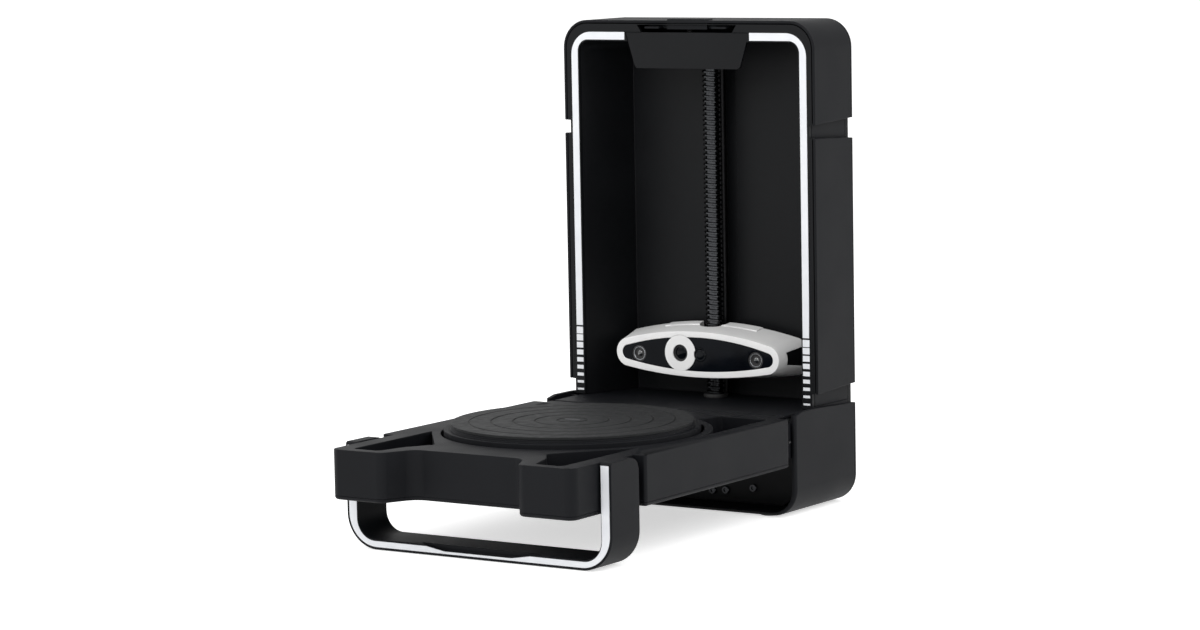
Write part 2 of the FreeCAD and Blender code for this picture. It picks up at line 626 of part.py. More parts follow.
def hingeBrackets():
    made = body("hinge_bracket")
    pad(made, "x", "hingeInner", "hingeInner + bracketThick",
        oblong("-hingeBack - bracketHalf", "-hingeBack + bracketHalf", "hingeHeight - bracketHalf",
               "baseTop - topThick"))
    roundEdges(made, "bracketHalf - 1",
               along("x", y="-hingeBack - bracketHalf", z="hingeHeight - bracketHalf"),
               along("x", y="-hingeBack + bracketHalf", z="hingeHeight - bracketHalf"))
    pocket(made, "x", "hingeInner", "hingeInner + bracketThick",
           circle("-hingeBack", "hingeHeight", "hingeRadius + running"))
    return node("hinge_brackets", pair("hinge_brackets", made))


def hingePins():
    made = rod("hinge_pin", "x", "hingeRadius", ("-hingeBack", "hingeHeight"), "hingeInner",
               "towerHalf - cheekWall / 2 - slipFit")
    return node("hinge_pins", pair("hinge_pins", made))


def controlBoard():
    low = "bottomGap + floorThick + postHigh"
    made = body("control_board")
    half = "mainBoardHalf + boardWing"
    pad(made, "z", low, low + " + boardThick",
        both((half, "boardGap"), (half, backStart + " - 3 * edgeRoom")))
    pocket(made, "z", low, low + " + boardThick", *[circle(a, b, "postHole") for a, b in boardPosts])
    return node("control_board", made)


def powerJack():
    spot = ("jackX", socketLevel)
    half = "jackRadius + jackWall"
    outer = block("jack_body", ("jackX - (%s)" % half, "jackX + " + half),
                  (backStart + " - jackLong", backStart), (boardTop, boardTop + " + socketHigh"))
    nose = rod("jack_nose", "y", "jackRadius", spot, backStart, "towerDepth - socketSet")
    bore = rod("jack_bore", "y", "jackBore", spot, "towerDepth - jackBoreDeep", "towerDepth")
    pin = rod("jack_pin", "y", "jackPin", spot, "towerDepth - jackBoreDeep - jackPin", "towerDepth - pinSet")
    hollow = cut("jack_hollow", fuse("jack_whole", outer, nose), bore)
    return node("power_jack", fuse("power_jack", hollow, pin))


def usbSocket():
    outer = block("socket_body", ("socketX - socketHalf", "socketX + socketHalf"),
                  ("towerDepth - socketLong", "towerDepth - socketSet"), (boardTop, boardTop + " + socketHigh"))
    hollow = block("socket_hollow", ("socketX - socketHalf + jackWall", "socketX + socketHalf - jackWall"),
                   ("towerDepth - jackBoreDeep", "towerDepth"),
                   (boardTop + " + jackWall", boardTop + " + socketHigh - jackWall"))
    tongue = block("socket_tongue", ("socketX - tongueHalf", "socketX + tongueHalf"),
                   ("towerDepth - jackBoreDeep - jackPin", "towerDepth - pinSet"),
                   (boardTop + " + socketHigh / 2 - jackWall", boardTop + " + socketHigh / 2 + jackWall"))
    return node("usb_socket", fuse("usb_socket", cut("socket_open", outer, hollow), tongue))


# Lift drive in the base and tower

bracketTop = "baseTop - topThick"
bracketPlate = bracketTop + " - bracketDrop"
motorNose = "motorSide / 3.2"


def liftMotor():
    low = bracketPlate + " - bracketWall - liftMotorHigh"
    high = bracketPlate + " - bracketWall"
    half = "motorSide / 2"
    case = block("lift_motor_case", ("-" + half, half), ("screwBack - " + half, "screwBack + " + half),
                 (low, high))
    nose = rod("lift_motor_nose", "z", motorNose, ("0", "screwBack"), high, high + " + bracketWall")
    shaft = rod("lift_motor_shaft", "z", "motorShaft", ("0", "screwBack"), low,
                bracketPlate + " + shaftSplit - edgeRoom")
    return node("lift_motor", fuse("lift_motor", case, nose, shaft))


def motorBracket():
    half = "motorSide / 2 + flangeStep"
    reach = ("screwBack - motorSide / 2", "screwBack + motorSide / 2")
    plate = block("bracket_plate", ("-(%s)" % half, half), reach,
                  (bracketPlate + " - bracketWall", bracketPlate))
    leg = block("bracket_leg", (half + " - bracketWall", half), reach, (bracketPlate, bracketTop))
    hole = rod("bracket_hole", "z", motorNose + " + slipFit", ("0", "screwBack"),
               bracketPlate + " - bracketWall", bracketPlate)
    whole = fuse("bracket_whole", plate, pair("bracket_legs", leg))
    return node("motor_bracket", cut("motor_bracket", whole, hole))


screwFoot = bracketPlate + " + shaftSplit + edgeRoom"
threadFoot = "baseTop + flangeThick + moving"
threadTop = "cavityTop - flangeThick - moving"


def screwCoupling():
    outer = rod("coupling_outer", "z", "couplingRadius", ("0", "screwBack"), bracketPlate + " + 4 * edgeRoom",
                bracketTop + " - flangeStep")
    lower = rod("coupling_lower", "z", "motorShaft + running", ("0", "screwBack"), bracketPlate, screwFoot)
    upper = rod("coupling_upper", "z", "journalRadius + running", ("0", "screwBack"), screwFoot, bracketTop)
    return node("screw_coupling", cut("screw_coupling", outer, lower, upper))


def leadScrew():
    journal = rod("screw_journal", "z", "journalRadius", ("0", "screwBack"), screwFoot,
                  "cavityTop + linerWall - moving")
    thread = rod("screw_thread", "z", "screwRadius", ("0", "screwBack"), threadFoot, threadTop)
    return node("lead_screw", fuse("lead_screw", journal, thread))


def bearing(name, low, high, flangeLow, flangeHigh):
    barrel = rod(name + "_barrel", "z", "flangeRadius - flangeStep - running", ("0", "screwBack"), low, high)
    flange = rod(name + "_flange", "z", "flangeRadius", ("0", "screwBack"), flangeLow, flangeHigh)
    bore = rod(name + "_bore", "z", "journalRadius + running", ("0", "screwBack"), low, high)
    return node(name, cut(name, fuse(name + "_whole", barrel, flange), bore))


def bearings():
    bearing("lower_bearing", "baseTop - topThick - carriageGap", "baseTop + flangeThick", "baseTop",
            "baseTop + flangeThick")
    bearing("upper_bearing", "cavityTop - flangeThick", "cavityTop + linerWall", "cavityTop - flangeThick",
            "cavityTop")


def guideRod():
    made = rod("guide_rod", "z", "guideRadius", ("0", "guideBack"), bracketTop, "cavityTop + linerWall")
    made.Label = "guide_rod_bar"
    return node("guide_rod", group("guide_rod", made))


# Latch

def latchButton():
    top = "towerHeight + buttonProud"
    made = body("latch_button")
    back = "buttonFront + buttonDeep"
    hook = "slotHigh - hookDrop - hookThick"
    pad(made, "y", "buttonFront", back,
        both(("buttonHalf", "towerHeight - 2 * shellWall"), ("buttonHalf", top)))
    roundEdges(made, "buttonRound", along("x", z=top), along("y", z=top, x="buttonHalf"))
    apron = "towerHeight - 2 * shellWall - apronDrop"
    pad(made, "y", "buttonFront", "buttonFront + apronThick",
        oblong("-buttonHalf", "buttonHalf", apron, "towerHeight - shellWall"))
    pad(made, "y", "bezelThick + latchGap + 1", back,
        oblong("-hookOuter", "hookOuter", hook, "slotHigh - latchGap"))
    arm = oblong("hookInner", "hookOuter", hook, hook + " + hookThick")
    pad(made, "y", "-hookReach", "bezelThick + latchGap + 2", arm, mirrored(arm))
    return node("latch_button", made)


def latchSpring():
    # The button's return spring between the roof of the liner and the latch bar.
    low = "cavityTop + linerWall"
    high = "slotHigh - hookDrop - hookThick - springRoom"
    spot = ("0", "buttonFront + buttonDeep - springRadius")
    made = tube("latch_spring_coil", "z", "springRadius", "springRadius - 2 * springWire", spot, low, high)
    return node("latch_spring", group("latch_spring", made))


# Bed

bearingLow = "spindleLow - jackWall"


def bedOutline(inset, rear="-neckRear"):
    return both(
        ("neckHalf - " + inset, rear),
        ("neckHalf - " + inset, "-(neckFront + %s)" % inset),
        ("bedHalf - " + inset, "-(neckFront + %s)" % inset),
        ("bedHalf - " + inset, "-(earStart - %s)" % inset),
        ("earHalf - " + inset, "-(earStart - %s)" % inset),
        ("earHalf - " + inset, "-(bedReach - %s)" % inset),
        ("earInner + " + inset, "-(bedReach - %s)" % inset),
        ("middleHalf + " + inset, "-(middleFront - %s)" % inset))


def sweepNeck(made):
    # The neck's rear face is hollowed round the hinge, so that it swings past the base.
    pocket(made, "x", "-(neckHalf + 0.2)", "neckHalf + 0.2", circle("-hingeBack", "hingeHeight", "neckSweep"))


def roundBed(made):
    roundEdges(made, "earCorner", along("z", x="earHalf", y="-bedReach"))
    roundEdges(made, "earNose", along("z", x="earInner", y="-bedReach"))
    roundEdges(made, "earBlend", along("z", x="middleHalf", y="-middleFront"))
    roundEdges(made, "bedRound", along("z", x="bedHalf"))


# Corners of the two right-hand pockets: how far in from the bed's side, and how far back.
frontCorners = [("frontOuter", "bedReach - frontRim"), ("frontBend", "bedReach - frontRim"),
                ("frontWaist", "bedReach - frontWaistLong"), ("frontNose", "bedReach - frontNoseLong"),
                ("frontOuter", "bedReach - frontTailLong")]
rearCorners = [("rearOuter", "tableCentre - rearTail"), ("rearOuter", "neckFront + rearRimLong"),
               ("rearBend", "neckFront + rearRimLong"), ("rearNose", "neckFront + rearNoseLong")]


def frontPocket(wall):
    shifts = [(1, 1), (-1, 1), (-1, 0), (-1, 0), (1, -1)]
    return pocketLoop(frontCorners, shifts, wall)


def rearPocket(wall):
    shifts = [(1, 0), (1, -1), (-1, -1), (-1, 0)]
    return pocketLoop(rearCorners, shifts, wall)


def pocketLoop(corners, shifts, wall):
    return [("bedHalf - %s + %d * %s" % (across, right, wall), "-(%s + %d * %s)" % (back, ahead, wall))
            for (across, back), (right, ahead) in zip(corners, shifts)]


def fourPockets(wall):
    right = [frontPocket(wall), rearPocket(wall)]
    return right + [mirrored(loop) for loop in right]


def bedTray():
    made = body("bed_tray")
    low = "bedLow + coverThick"
    bedTop = "baseTop"
    pad(made, "z", low, bedTop, bedOutline("0"))
    roundBed(made)
    pocket(made, "z", low, bedTop + " - bedWall", bedOutline("bedWall", "-(hingeBack + neckSweep + bedWall)"))
    roundEdges(made, "earCorner - bedWall", along("z", x="earHalf - bedWall", y="-(bedReach - bedWall)"))
    for loop in fourPockets("pocketWall"):
        pad(made, "z", "pocketFloor - pocketWall", bedTop, loop)
    pad(made, "z", "wellFloor - wellSkin", bedTop, circle("0", "-tableCentre", "ringRadius"))
    for loop in fourPockets("0"):
        pocket(made, "z", "pocketFloor", bedTop, loop)
    roundEdges(made, "pocketCorner", *[
        along("z", x="bedHalf - " + across, y="-(%s)" % back, z="baseTop - pocketDeep / 2")
        for across, back in frontCorners + rearCorners[1:3]])
    pad(made, "z", "pocketFloor", bedTop, circle("0", "-tableCentre", "ringRadius"))
    pocket(made, "z", "wellFloor", bedTop, circle("0", "-tableCentre", "wellRadius"))
    pocket(made, "z", "pocketFloor", "wellFloor - wellSkin", circle("0", "-tableCentre", "wellRadius"))
    pad(made, "z", bearingLow, "wellFloor - wellSkin / 2",
        circle("0", "-tableCentre", "bearingRadius + bearingWall"))
    pocket(made, "z", bearingLow, "wellFloor", circle("0", "-tableCentre", "bearingRadius + running"))
    pocket(made, "z", "wellFloor - wellSkin", "wellFloor",
           circle("0", "-(tableCentre - pulleyOffset)", "motorShaft + jackWall"))
    for low, high in (("pivotInner - bedWall", "earHalf - bedWall / 2"),
                      ("-(earHalf - bedWall / 2)", "-(pivotInner - bedWall)")):
        pad(made, "x", low, high, circle("-loopPivot", "loopPivotHeight", "bossRadius"))
    for low, high in (("pivotInner", "earHalf"), ("-earHalf", "-pivotInner")):
        pocket(made, "x", low, high, circle("-loopPivot", "loopPivotHeight", "pivotRadius + running"))
    sweepNeck(made)
    sweepEnd = "-(hingeBack + sqrt(neckSweep ^ 2 - hingeDrop ^ 2))"
    roundEdges(made, "neckRound", along("x", y=sweepEnd, z="baseTop"))
    return node("bed_tray", made)


coverBolts = [(across, back) for side in ("", "-") for across, back in (
    (side + "(bedHalf - boltSide)", "-(neckFront + boltLow)"),
    (side + "(bedHalf - boltSide)", "-(earStart - boltLow)"),
    (side + "(earHalf - earWide / 2)", "-(bedReach - boltLow)"))]
coverFace = "bedLow + boltHeadThick + slipFit"


def bedCover():
    made = body("bed_bottom_cover")
    pad(made, "z", "bedLow", "bedLow + coverThick", bedOutline("0"))
    roundBed(made)
    level = value("bedLow")
    picked = {edge.hashCode() for edge in made.Tip.Shape.Edges if abs(edge.CenterOfMass.z - level) < hairline}
    roundEdges(made, "bedRound - edgeRoom", lambda edge: edge.hashCode() in picked)
    pocket(made, "z", "bedLow", "bedLow + coverThick",
           *[circle(across, up, "boltRadius + slipFit") for across, up in coverBolts])
    pocket(made, "z", "bedLow", coverFace,
           *[circle(across, up, "boltHead + slipFit") for across, up in coverBolts])
    sweepNeck(made)
    return node("bed_bottom_cover", made)


def bedScrews():
    made = [bolt("bed_screw_%d" % count, "z", spot, coverFace, coverFace + " + boltLong")
            for count, spot in enumerate(coverBolts)]
    return node("bed_screws", group("bed_screws", *made))


def bedArms():
    made = body("bed_hinge_arm")
    pad(made, "x", "armInner", "armInner + armThick",
        oblong("-neckFront", "-hingeBack", "hingeHeight - eyeRadius", "hingeHeight + eyeRadius"))
    pad(made, "x", "armInner", "armInner + armThick", circle("-hingeBack", "hingeHeight", "eyeRadius"))
    pocket(made, "x", "armInner", "armInner + armThick",
           circle("-hingeBack", "hingeHeight", "hingeRadius + running"))
    return node("bed_hinge_arms", pair("bed_hinge_arms", made))


def stopPins():
    made = rod("bed_stop_pin", "y", "nubRadius", ("bedHalf - 1.5 * nubRadius", "hingeHeight + nubRadius"),
               "-neckFront", "-neckFront + nubLong")
    return node("bed_stop_pins", pair("bed_stop_pins", made))


# Turntable and its drive

tableSpot = ("0", "-tableCentre")
pulleySpot = ("0", "-(tableCentre - pulleyOffset)")


def turntableMotor():
    high = "wellFloor - wellSkin"
    half = "motorSide / 2"
    case = block("table_motor_case", ("-" + half, half),
                 ("-(tableCentre - pulleyOffset) - " + half, "-(tableCentre - pulleyOffset) + " + half),
                 (high + " - bedMotorHigh", high))
    shaft = rod("table_motor_shaft", "z", "motorShaft", pulleySpot, high + " - bedMotorHigh",
                 "pulleyLow + beltWide + shaftEnd")
    return node("turntable_motor", fuse("turntable_motor", case, shaft))


def turntableBearing():
    made = tube("turntable_bearing_ring", "z", "bearingRadius", "spindleRadius + running", tableSpot,
                bearingLow, "wellFloor")
    return node("turntable_bearing", group("turntable_bearing", made))


def platter():
    made = body("platter")
    pad(made, "z", "platterLow", "platterTop", circle("0", "-tableCentre", "platterRadius"))
    pad(made, "z", "platterTop", "matTop - matThick", circle("0", "-tableCentre", "discRadius"))
    return node("platter", made)


def rubberMat():
    made = body("rubber_mat")
    pad(made, "z", "matTop - matThick", "matTop", circle("0", "-tableCentre", "discRadius"))
    for count in range(5):
        inner = "matRingFirst + %d * matRingPitch - matGroove / 2" % count
        pocket(made, "z", "matTop - matGrooveDeep", "matTop", circle("0", "-tableCentre", inner),
               circle("0", "-tableCentre", inner + " + matGroove"))
    return node("rubber_mat", made)


def centreMark():
    made = block("centre_mark_bar", ("-markLong / 2", "markLong / 2"),
                 ("-tableCentre - markWide / 2", "-tableCentre + markWide / 2"), ("matTop", "matTop + markThick"))
    return node("centre_mark", group("centre_mark", made))


def spindle():
    made = rod("spindle_bar", "z", "spindleRadius", tableSpot, "spindleLow", "platterLow")
    return node("spindle", group("spindle", made))


def pulleys():
    big = tube("platter_pulley_ring", "z", "bigPulley", "spindleRadius + running", tableSpot, "pulleyLow",
               "platterLow")
    node("platter_pulley", group("platter_pulley", big))
    small = tube("motor_pulley_ring", "z", "smallPulley", "motorShaft + running", pulleySpot, "pulleyLow",
                 "pulleyLow + beltWide + shaftEnd / 2")
    node("motor_pulley", group("motor_pulley", small))


def beltOutline(more):
    # A loop of two arcs and their common tangents, seen from above.
    large = value("bigPulley") + more
    small = value("smallPulley") + more
    apart = value("pulleyOffset")
    lean = math.asin((large - small) / apart)
    far = Vector(0, -value("tableCentre"), 0)
    near = Vector(0, -value("tableCentre") + apart, 0)
    side = Vector(math.cos(lean), math.sin(lean), 0)
    other = Vector(-side.x, side.y, 0)
    back = Vector(0, 1, 0)
    edges = [Part.Arc(far + side * large, far - back * large, far + other * large).toShape(),
             Part.LineSegment(far + other * large, near + other * small).toShape(),
             Part.Arc(near + other * small, near + back * small, near + side * small).toShape(),
             Part.LineSegment(near + side * small, far + side * large).toShape()]
    return Part.Face(Part.Wire(edges))


def driveBelt():
    gap = value("moving")
    ring = beltOutline(gap + value("beltThick")).cut(beltOutline(gap))
    ring.translate(Vector(0, 0, value("pulleyLow")))
    made = document.addObject("Part::Feature", "drive_belt")
    made.Shape = ring.extrude(Vector(0, 0, value("beltWide"))).Solids[0]
    return node("drive_belt", made)


# Carrying loop

loopFront = "-loopMiddle - loopWide / 2"
scoopLoop = both(("scoopHalf", "scoopHigh"), ("scoopHalf + scoopSlope", "loopBar + scoopTop"))


def cutScoop(owner):
    # The finger scoop in the bar's front edge: a shallow dip with soft ends.
    pocket(owner, "y", loopFront, loopFront + " + scoopDeep", scoopLoop)
    roundEdges(owner, "scoopCorner", along("y", x="scoopHalf", z="scoopHigh"))


def loopStripeLoop():
    # The pale band on the loop's front face.
    outer = "bedHalf - loopStripeIn"
    inner = outer + " - loopStripeWide"
    low = "loopPad + loopStripeIn"
    high = low + " + loopStripeLow"
    top = "loopPivotHeight + loopWide / 2 - loopStripeTop"
    return both((outer, low), (outer, top), (inner, top), (inner, high))


def loopStripeOuter(edge):
    return along("y", x="bedHalf - loopStripeIn", z="loopPad + loopStripeIn")(edge)


def loopStripeInner(edge):
    return along("y", x="bedHalf - loopStripeIn - loopStripeWide",
                 z="loopPad + loopStripeIn + loopStripeLow")(edge)


def handleLoop():
    made = body("handle_loop")
    front = loopFront
    rear = "-loopMiddle + loopWide / 2"
    top = "loopPivotHeight + loopWide / 2"
    inner = "bedHalf - loopThick"
    pad(made, "y", front, rear, [
        ("-bedHalf", "loopPad"), ("bedHalf", "loopPad"), ("bedHalf", top), (inner, top), (inner, "loopBar"),
        ("-(%s)" % inner, "loopBar"), ("-(%s)" % inner, top), ("-bedHalf", top)])
    pocket(made, "y", front, front + " + loopStripeDeep", loopStripeLoop())
    roundEdges(made, "loopCorner - loopStripeIn", loopStripeOuter)
    roundEdges(made, "loopInnerCorner + loopThick - loopStripeWide - loopStripeIn", loopStripeInner)
    roundEdges(made, "loopCorner", along("y", x="bedHalf", z="loopPad"))
    roundEdges(made, "loopInnerCorner", along("y", x=inner, z="loopBar"))
    roundEdges(made, "loopRear", along("x", y=rear, z=top))
    roundEdges(made, "loopThick / 4", along("x", y=front, z=top))
    cutScoop(made)
    for low, high in ((inner, "bedHalf - loopThick / 4"), ("-(bedHalf - loopThick / 4)", "-(%s)" % inner)):
        pocket(made, "x", low, high, circle("-loopPivot", "loopPivotHeight", "pivotRadius + running"))
    return node("handle_loop", made)


def handleStripe():
    made = body("handle_stripe")
    pad(made, "y", loopFront, loopFront + " + loopStripeDeep", loopStripeLoop())
    roundEdges(made, "loopCorner - loopStripeIn", loopStripeOuter)
    roundEdges(made, "loopInnerCorner + loopThick - loopStripeWide - loopStripeIn", loopStripeInner)
    cutScoop(made)
    return node("handle_stripe", made)


def pivotPins():
    made = rod("handle_pivot_pin", "x", "pivotRadius", ("-loopPivot", "loopPivotHeight"), "pivotInner",
               "bedHalf - loopThick / 4 - slipFit")
    return node("handle_pivot_pins", pair("handle_pivot_pins", made))


def handleFeet():
    made = block("handle_foot", ("loopPadAcross - loopPadHalf", "loopPadAcross + loopPadHalf"),
                 ("-loopMiddle - loopWide / 4", "-loopMiddle + loopWide / 4"), ("0", "loopPad"))
    return node("handle_feet", pair("handle_feet", made))


# Scanning head

def lensWire(level, part, inset):
    # An outline of the head: a crowned top, a flatter bottom and round ends, all pulled in by inset.
    middle = value("headMiddle")
    half, top, low, end, endHigh = [value(part + word) for word in ("Half", "Top", "Low", "End", "EndHigh")]
    side = end - inset * value("endTaper")

    def arc(*spots):
        return Part.Arc(*[Vector(across, level, up) for across, up in spots]).toShape()
    right, left = half - inset, inset - half
    high, deep = middle + endHigh - inset, middle - endHigh + inset
    return Part.Wire([
        arc((-side, high), (0, top - inset), (side, high)), arc((side, high), (right, middle), (side, deep)),
        arc((side, deep), (0, low + inset), (-side, deep)), arc((-side, deep), (left, middle), (-side, high))])


def headForm(inset, front, rear):
    return Part.makeLoft([lensWire(front, "front", inset), lensWire(rear, "back", inset)], True)


def prism(wire, deep):
    return Part.Face(wire).extrude(Vector(0, deep, 0))


def notchForm(more, front, rear):
    radius = value("channelHalf") + more
    screw = value("screwBack")
    tall = value("notchTall")
    low = value("headMiddle") - tall / 2
    round_ = Part.makeCylinder(radius, tall, Vector(0, screw, low))
    straight = Part.makeBox(2 * radius, rear - screw, tall, Vector(-radius, screw, low))
    return round_.fuse(straight)


def ventForm():
    front = value("ventFront")
    rear = value("headRear")
    middle = value("headMiddle")
    half = value("cavityHalf")
    points = [Vector(-half, front, middle - value("ventLow")), Vector(-half, front, middle + value("ventTop")),
              Vector(-half, rear, middle + value("ventRearTop")), Vector(-half, rear, middle - value("ventRearLow"))]
    return Part.Face(Part.makePolygon(points + points[:1])).extrude(Vector(2 * half, 0, 0))


def solid(name, shape):
    made = document.addObject("Part::Feature", name)
    made.Shape = shape
    return node(name, made)


def hatchForm(front, rear):
    # The raised hatch over the middle of the head's top.
    half = value("hatchHalf")
    start = value("hatchFront")
    middle = value("headMiddle")
    room = Part.makeBox(2 * half, rear - start, value("notchTall") / 2, Vector(-half, start, middle))
    return headForm(-value("hatchProud"), front, rear).common(room)


def headShell():
    front = value("headFront")
    rear = value("headRear")
    wall = value("headWall")
    outer = headForm(0, front, rear).fuse(hatchForm(front, rear))
    inner = headForm(wall, front + wall, rear)
    shell = outer.cut(inner)
    collar = outer.common(notchForm(value("notchWall"), front, rear))
    whole = shell.fuse(collar).cut(notchForm(0, front, 2 * rear))
    whole = whole.cut(prism(lensWire(front - wall, "window", -value("slipFit")), 2 * wall))
    whole = whole.cut(ventForm())
    whole = whole.cut(ringRoom())
    deep = value("ledgeThick")
    ledge = prism(lensWire(front + wall, "window", -wall), deep)
    ledge = ledge.cut(prism(lensWire(front + wall, "window", value("ledgeWide")), deep))
    for hole in headRods(value("laserRadius"), laserSpots(), front, front + 2 * wall):
        ledge = ledge.cut(hole)
    ledge = ledge.common(headForm(wall / 2, front + wall / 2, rear))
    return solid("head_shell", whole.fuse(ledge).removeSplitter())


def headRearCover():
    rear = value("headRear")
    plate = prism(lensWire(rear, "back", value("headWall") / 2), value("rearPlate"))
    return solid("head_rear_cover", plate.cut(notchForm(0, 0, 2 * rear)))


def headVents():
    front = value("headFront")
    rear = value("headRear")
    near = value("ventSet")
    far = near + value("ventThick")
    skin = headForm(near, front + near, rear).cut(headForm(far, front + far, 2 * rear))
    return solid("side_vents", skin.common(ventForm()).cut(notchForm(value("channelHalf"), 0, 2 * rear)))


def headRods(radius, spots, low, high):
    return [Part.makeCylinder(radius, high - low, Vector(across, low, up), Vector(0, 1, 0))
            for across, up in spots]


def cameraSpot():
    return [(value("cameraX"), value("cameraZ"))]


def ringRoom():
    # The shallow round recess that the camera's ring lies in, cut in the shell and the window.
    front = value("headFront")
    return headRods(value("cameraRing") + value("slipFit"), cameraSpot(), front - value("headWall"),
                    front + value("ringThick"))[0]


def knobSpot():
    return [(value("knobX"), value("knobZ"))]


def laserSpots():
    return [(value("laserX"), value("laserZ")), (-value("laserX"), value("laserZ"))]


def headWindow():
    front = value("headFront") + value("windowSet")
    thick = value("windowThick")
    plate = prism(lensWire(front, "window", 0), thick)
    slip = value("slipFit")
    tools = headRods(value("laserRadius") + slip, laserSpots(), front - thick, front + 2 * thick)
    tools += headRods(value("cameraHole"), cameraSpot(), front - thick, front + 2 * thick)
    tools += headRods(value("knobRadius") + slip, knobSpot(), front - thick, front + 2 * thick)
    for tool in tools + [ringRoom()]:
        plate = plate.cut(tool)
    return solid("head_window", plate)


def headOptics():
    front = value("headFront")
    wall = value("headWall")
    face = front + value("windowSet")
    thick = value("windowThick")
    board = value("boardFront")
    slip = value("slipFit")
    hole = value("cameraHole")
    glassFront = face + value("lensBack")
    glassBack = glassFront + value("lensThick")
    ring = headRods(value("cameraRing"), cameraSpot(), front, front + value("ringThick"))[0]
    for tool in (headRods(hole, cameraSpot(), front - wall, face + 2 * thick)
                 + headRods(value("knobRadius") + slip, knobSpot(), front - wall, face + 2 * thick)):
        ring = ring.cut(tool)
    solid("camera_ring", ring)
    barrel = headRods(hole - slip, cameraSpot(), face + thick / 4, board)[0]
    barrel = barrel.cut(headRods(value("lensRadius") + slip, cameraSpot(), face, glassBack)[0])
    solid("camera_barrel", barrel)
    solid("camera_lens", headRods(value("lensRadius"), cameraSpot(), glassFront, glassBack)[0])
    solid("sensor_knob", headRods(value("knobRadius"), knobSpot(), face - slip, board)[0])
    solid("laser_lenses", Part.makeCompound(
        headRods(value("laserRadius"), laserSpots(), face + value("windowSet"), front + wall)))
    solid("laser_modules", Part.makeCompound(
        headRods(value("laserRadius") - value("jackWall"), laserSpots(), front + wall, board)))


def headBoard():
    half = value("boardHalf")
    high = value("boardHigh")
    low = value("headMiddle") + value("boardRise") - high / 2
    made = Part.makeBox(2 * half, value("boardThick"), high, Vector(-half, value("boardFront"), low))
    return solid("head_board", made)


def carriage():
    low = "carriageLow"
    high = "carriageLow + carriageHigh"
    step = "cavityBack - carriageGap"
    front = block("carriage_front", ("-channelHalf", "channelHalf"), ("screwBack", step), (low, high))
    tail = block("carriage_tail", ("-carriageTail", "carriageTail"), (step, "channelBack - carriageGap"),
                 (low, high))
    nose = rod("carriage_nose", "z", "channelHalf - slipFit", ("0", "screwBack"), low, high)
    bore = rod("carriage_bore", "z", "nutRadius + running", ("0", "screwBack"), low, high)
    guide = rod("carriage_guide", "z", "guideRadius + running + bushWall + running", ("0", "guideBack"),
                low, high)
    node("head_carriage", cut("head_carriage", fuse("carriage_whole", front, tail, nose), bore, guide))
    barrel = rod("nut_barrel", "z", "nutRadius", ("0", "screwBack"), low, high + " - carriageGap")
    flange = rod("nut_flange", "z", "nutFlange", ("0", "screwBack"), low + " - nutFlangeThick", low)
    hole = rod("nut_hole", "z", "screwRadius + threadGap", ("0", "screwBack"), low + " - nutFlangeThick", high)
    node("lead_nut", cut("lead_nut", fuse("nut_whole", barrel, flange), hole))
    bush = tube("guide_bush_ring", "z", "guideRadius + running + bushWall", "guideRadius + running",
                ("0", "guideBack"), low, high)
    node("guide_bush", group("guide_bush", bush))


towerShell()
frontBezel()
stripeInlay()
levelBars()
nameplate()
plateBracket()
cavityLiner()
rearCover()
rearScrews()
baseShell()
baseTopPlate()
baseFrontPanel()
panelScrews()
baseFeet()
hingeBrackets()
hingePins()
controlBoard()
powerJack()
usbSocket()
liftMotor()
motorBracket()
screwCoupling()
leadScrew()
bearings()
guideRod()
latchButton()
latchSpring()
bedTray()
bedCover()
bedScrews()
bedArms()
stopPins()
turntableMotor()
turntableBearing()
platter()
rubberMat()
centreMark()
spindle()
pulleys()
driveBelt()
handleLoop()
pivotPins()
handleStripe()
handleFeet()
headShell()
headRearCover()
headVents()
headWindow()
headOptics()
headBoard()
carriage()
document.recompute()

for made in document.Objects:
    if "Invalid" in made.State or "Error" in made.State:
        raise ValueError("%s: %s" % (made.Name, made.State))
os.makedirs("parts", exist_ok=True)
for made in nodes:
    shape = made.Shape
    if shape.isNull() or not shape.isValid():
        raise ValueError(made.Label + " has no valid shape")
    shape.exportStep("parts/%s.step" % made.Label)
    box = shape.BoundBox
    print("%-20s %2d %9.0f mm3 x %.1f..%.1f y %.1f..%.1f z %.1f..%.1f" % (
        made.Label, len(shape.Solids), shape.Volume,
        box.XMin, box.XMax, box.YMin, box.YMax, box.ZMin, box.ZMax))
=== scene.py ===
import json
import math
import bpy
import bmesh
from mathutils import Matrix, Vector
from mathutils.bvhtree import BVHTree


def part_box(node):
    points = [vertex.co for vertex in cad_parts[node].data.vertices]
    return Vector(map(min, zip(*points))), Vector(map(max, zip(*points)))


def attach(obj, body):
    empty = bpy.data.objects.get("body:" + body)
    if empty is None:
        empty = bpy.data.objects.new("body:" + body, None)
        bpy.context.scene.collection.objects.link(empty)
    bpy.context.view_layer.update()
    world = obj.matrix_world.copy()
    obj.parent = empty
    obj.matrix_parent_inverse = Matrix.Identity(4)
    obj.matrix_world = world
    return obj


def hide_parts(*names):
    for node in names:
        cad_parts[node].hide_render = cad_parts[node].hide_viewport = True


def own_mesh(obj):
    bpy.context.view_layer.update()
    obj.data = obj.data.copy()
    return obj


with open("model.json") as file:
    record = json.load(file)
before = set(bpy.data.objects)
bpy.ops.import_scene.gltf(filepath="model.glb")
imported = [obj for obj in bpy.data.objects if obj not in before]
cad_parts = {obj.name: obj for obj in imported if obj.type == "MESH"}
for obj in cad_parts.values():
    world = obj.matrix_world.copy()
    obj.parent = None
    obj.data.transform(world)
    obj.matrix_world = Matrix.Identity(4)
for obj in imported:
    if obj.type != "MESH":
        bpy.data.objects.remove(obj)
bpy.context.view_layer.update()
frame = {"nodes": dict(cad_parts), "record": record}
nodes = frame["nodes"]
mm = 0.001
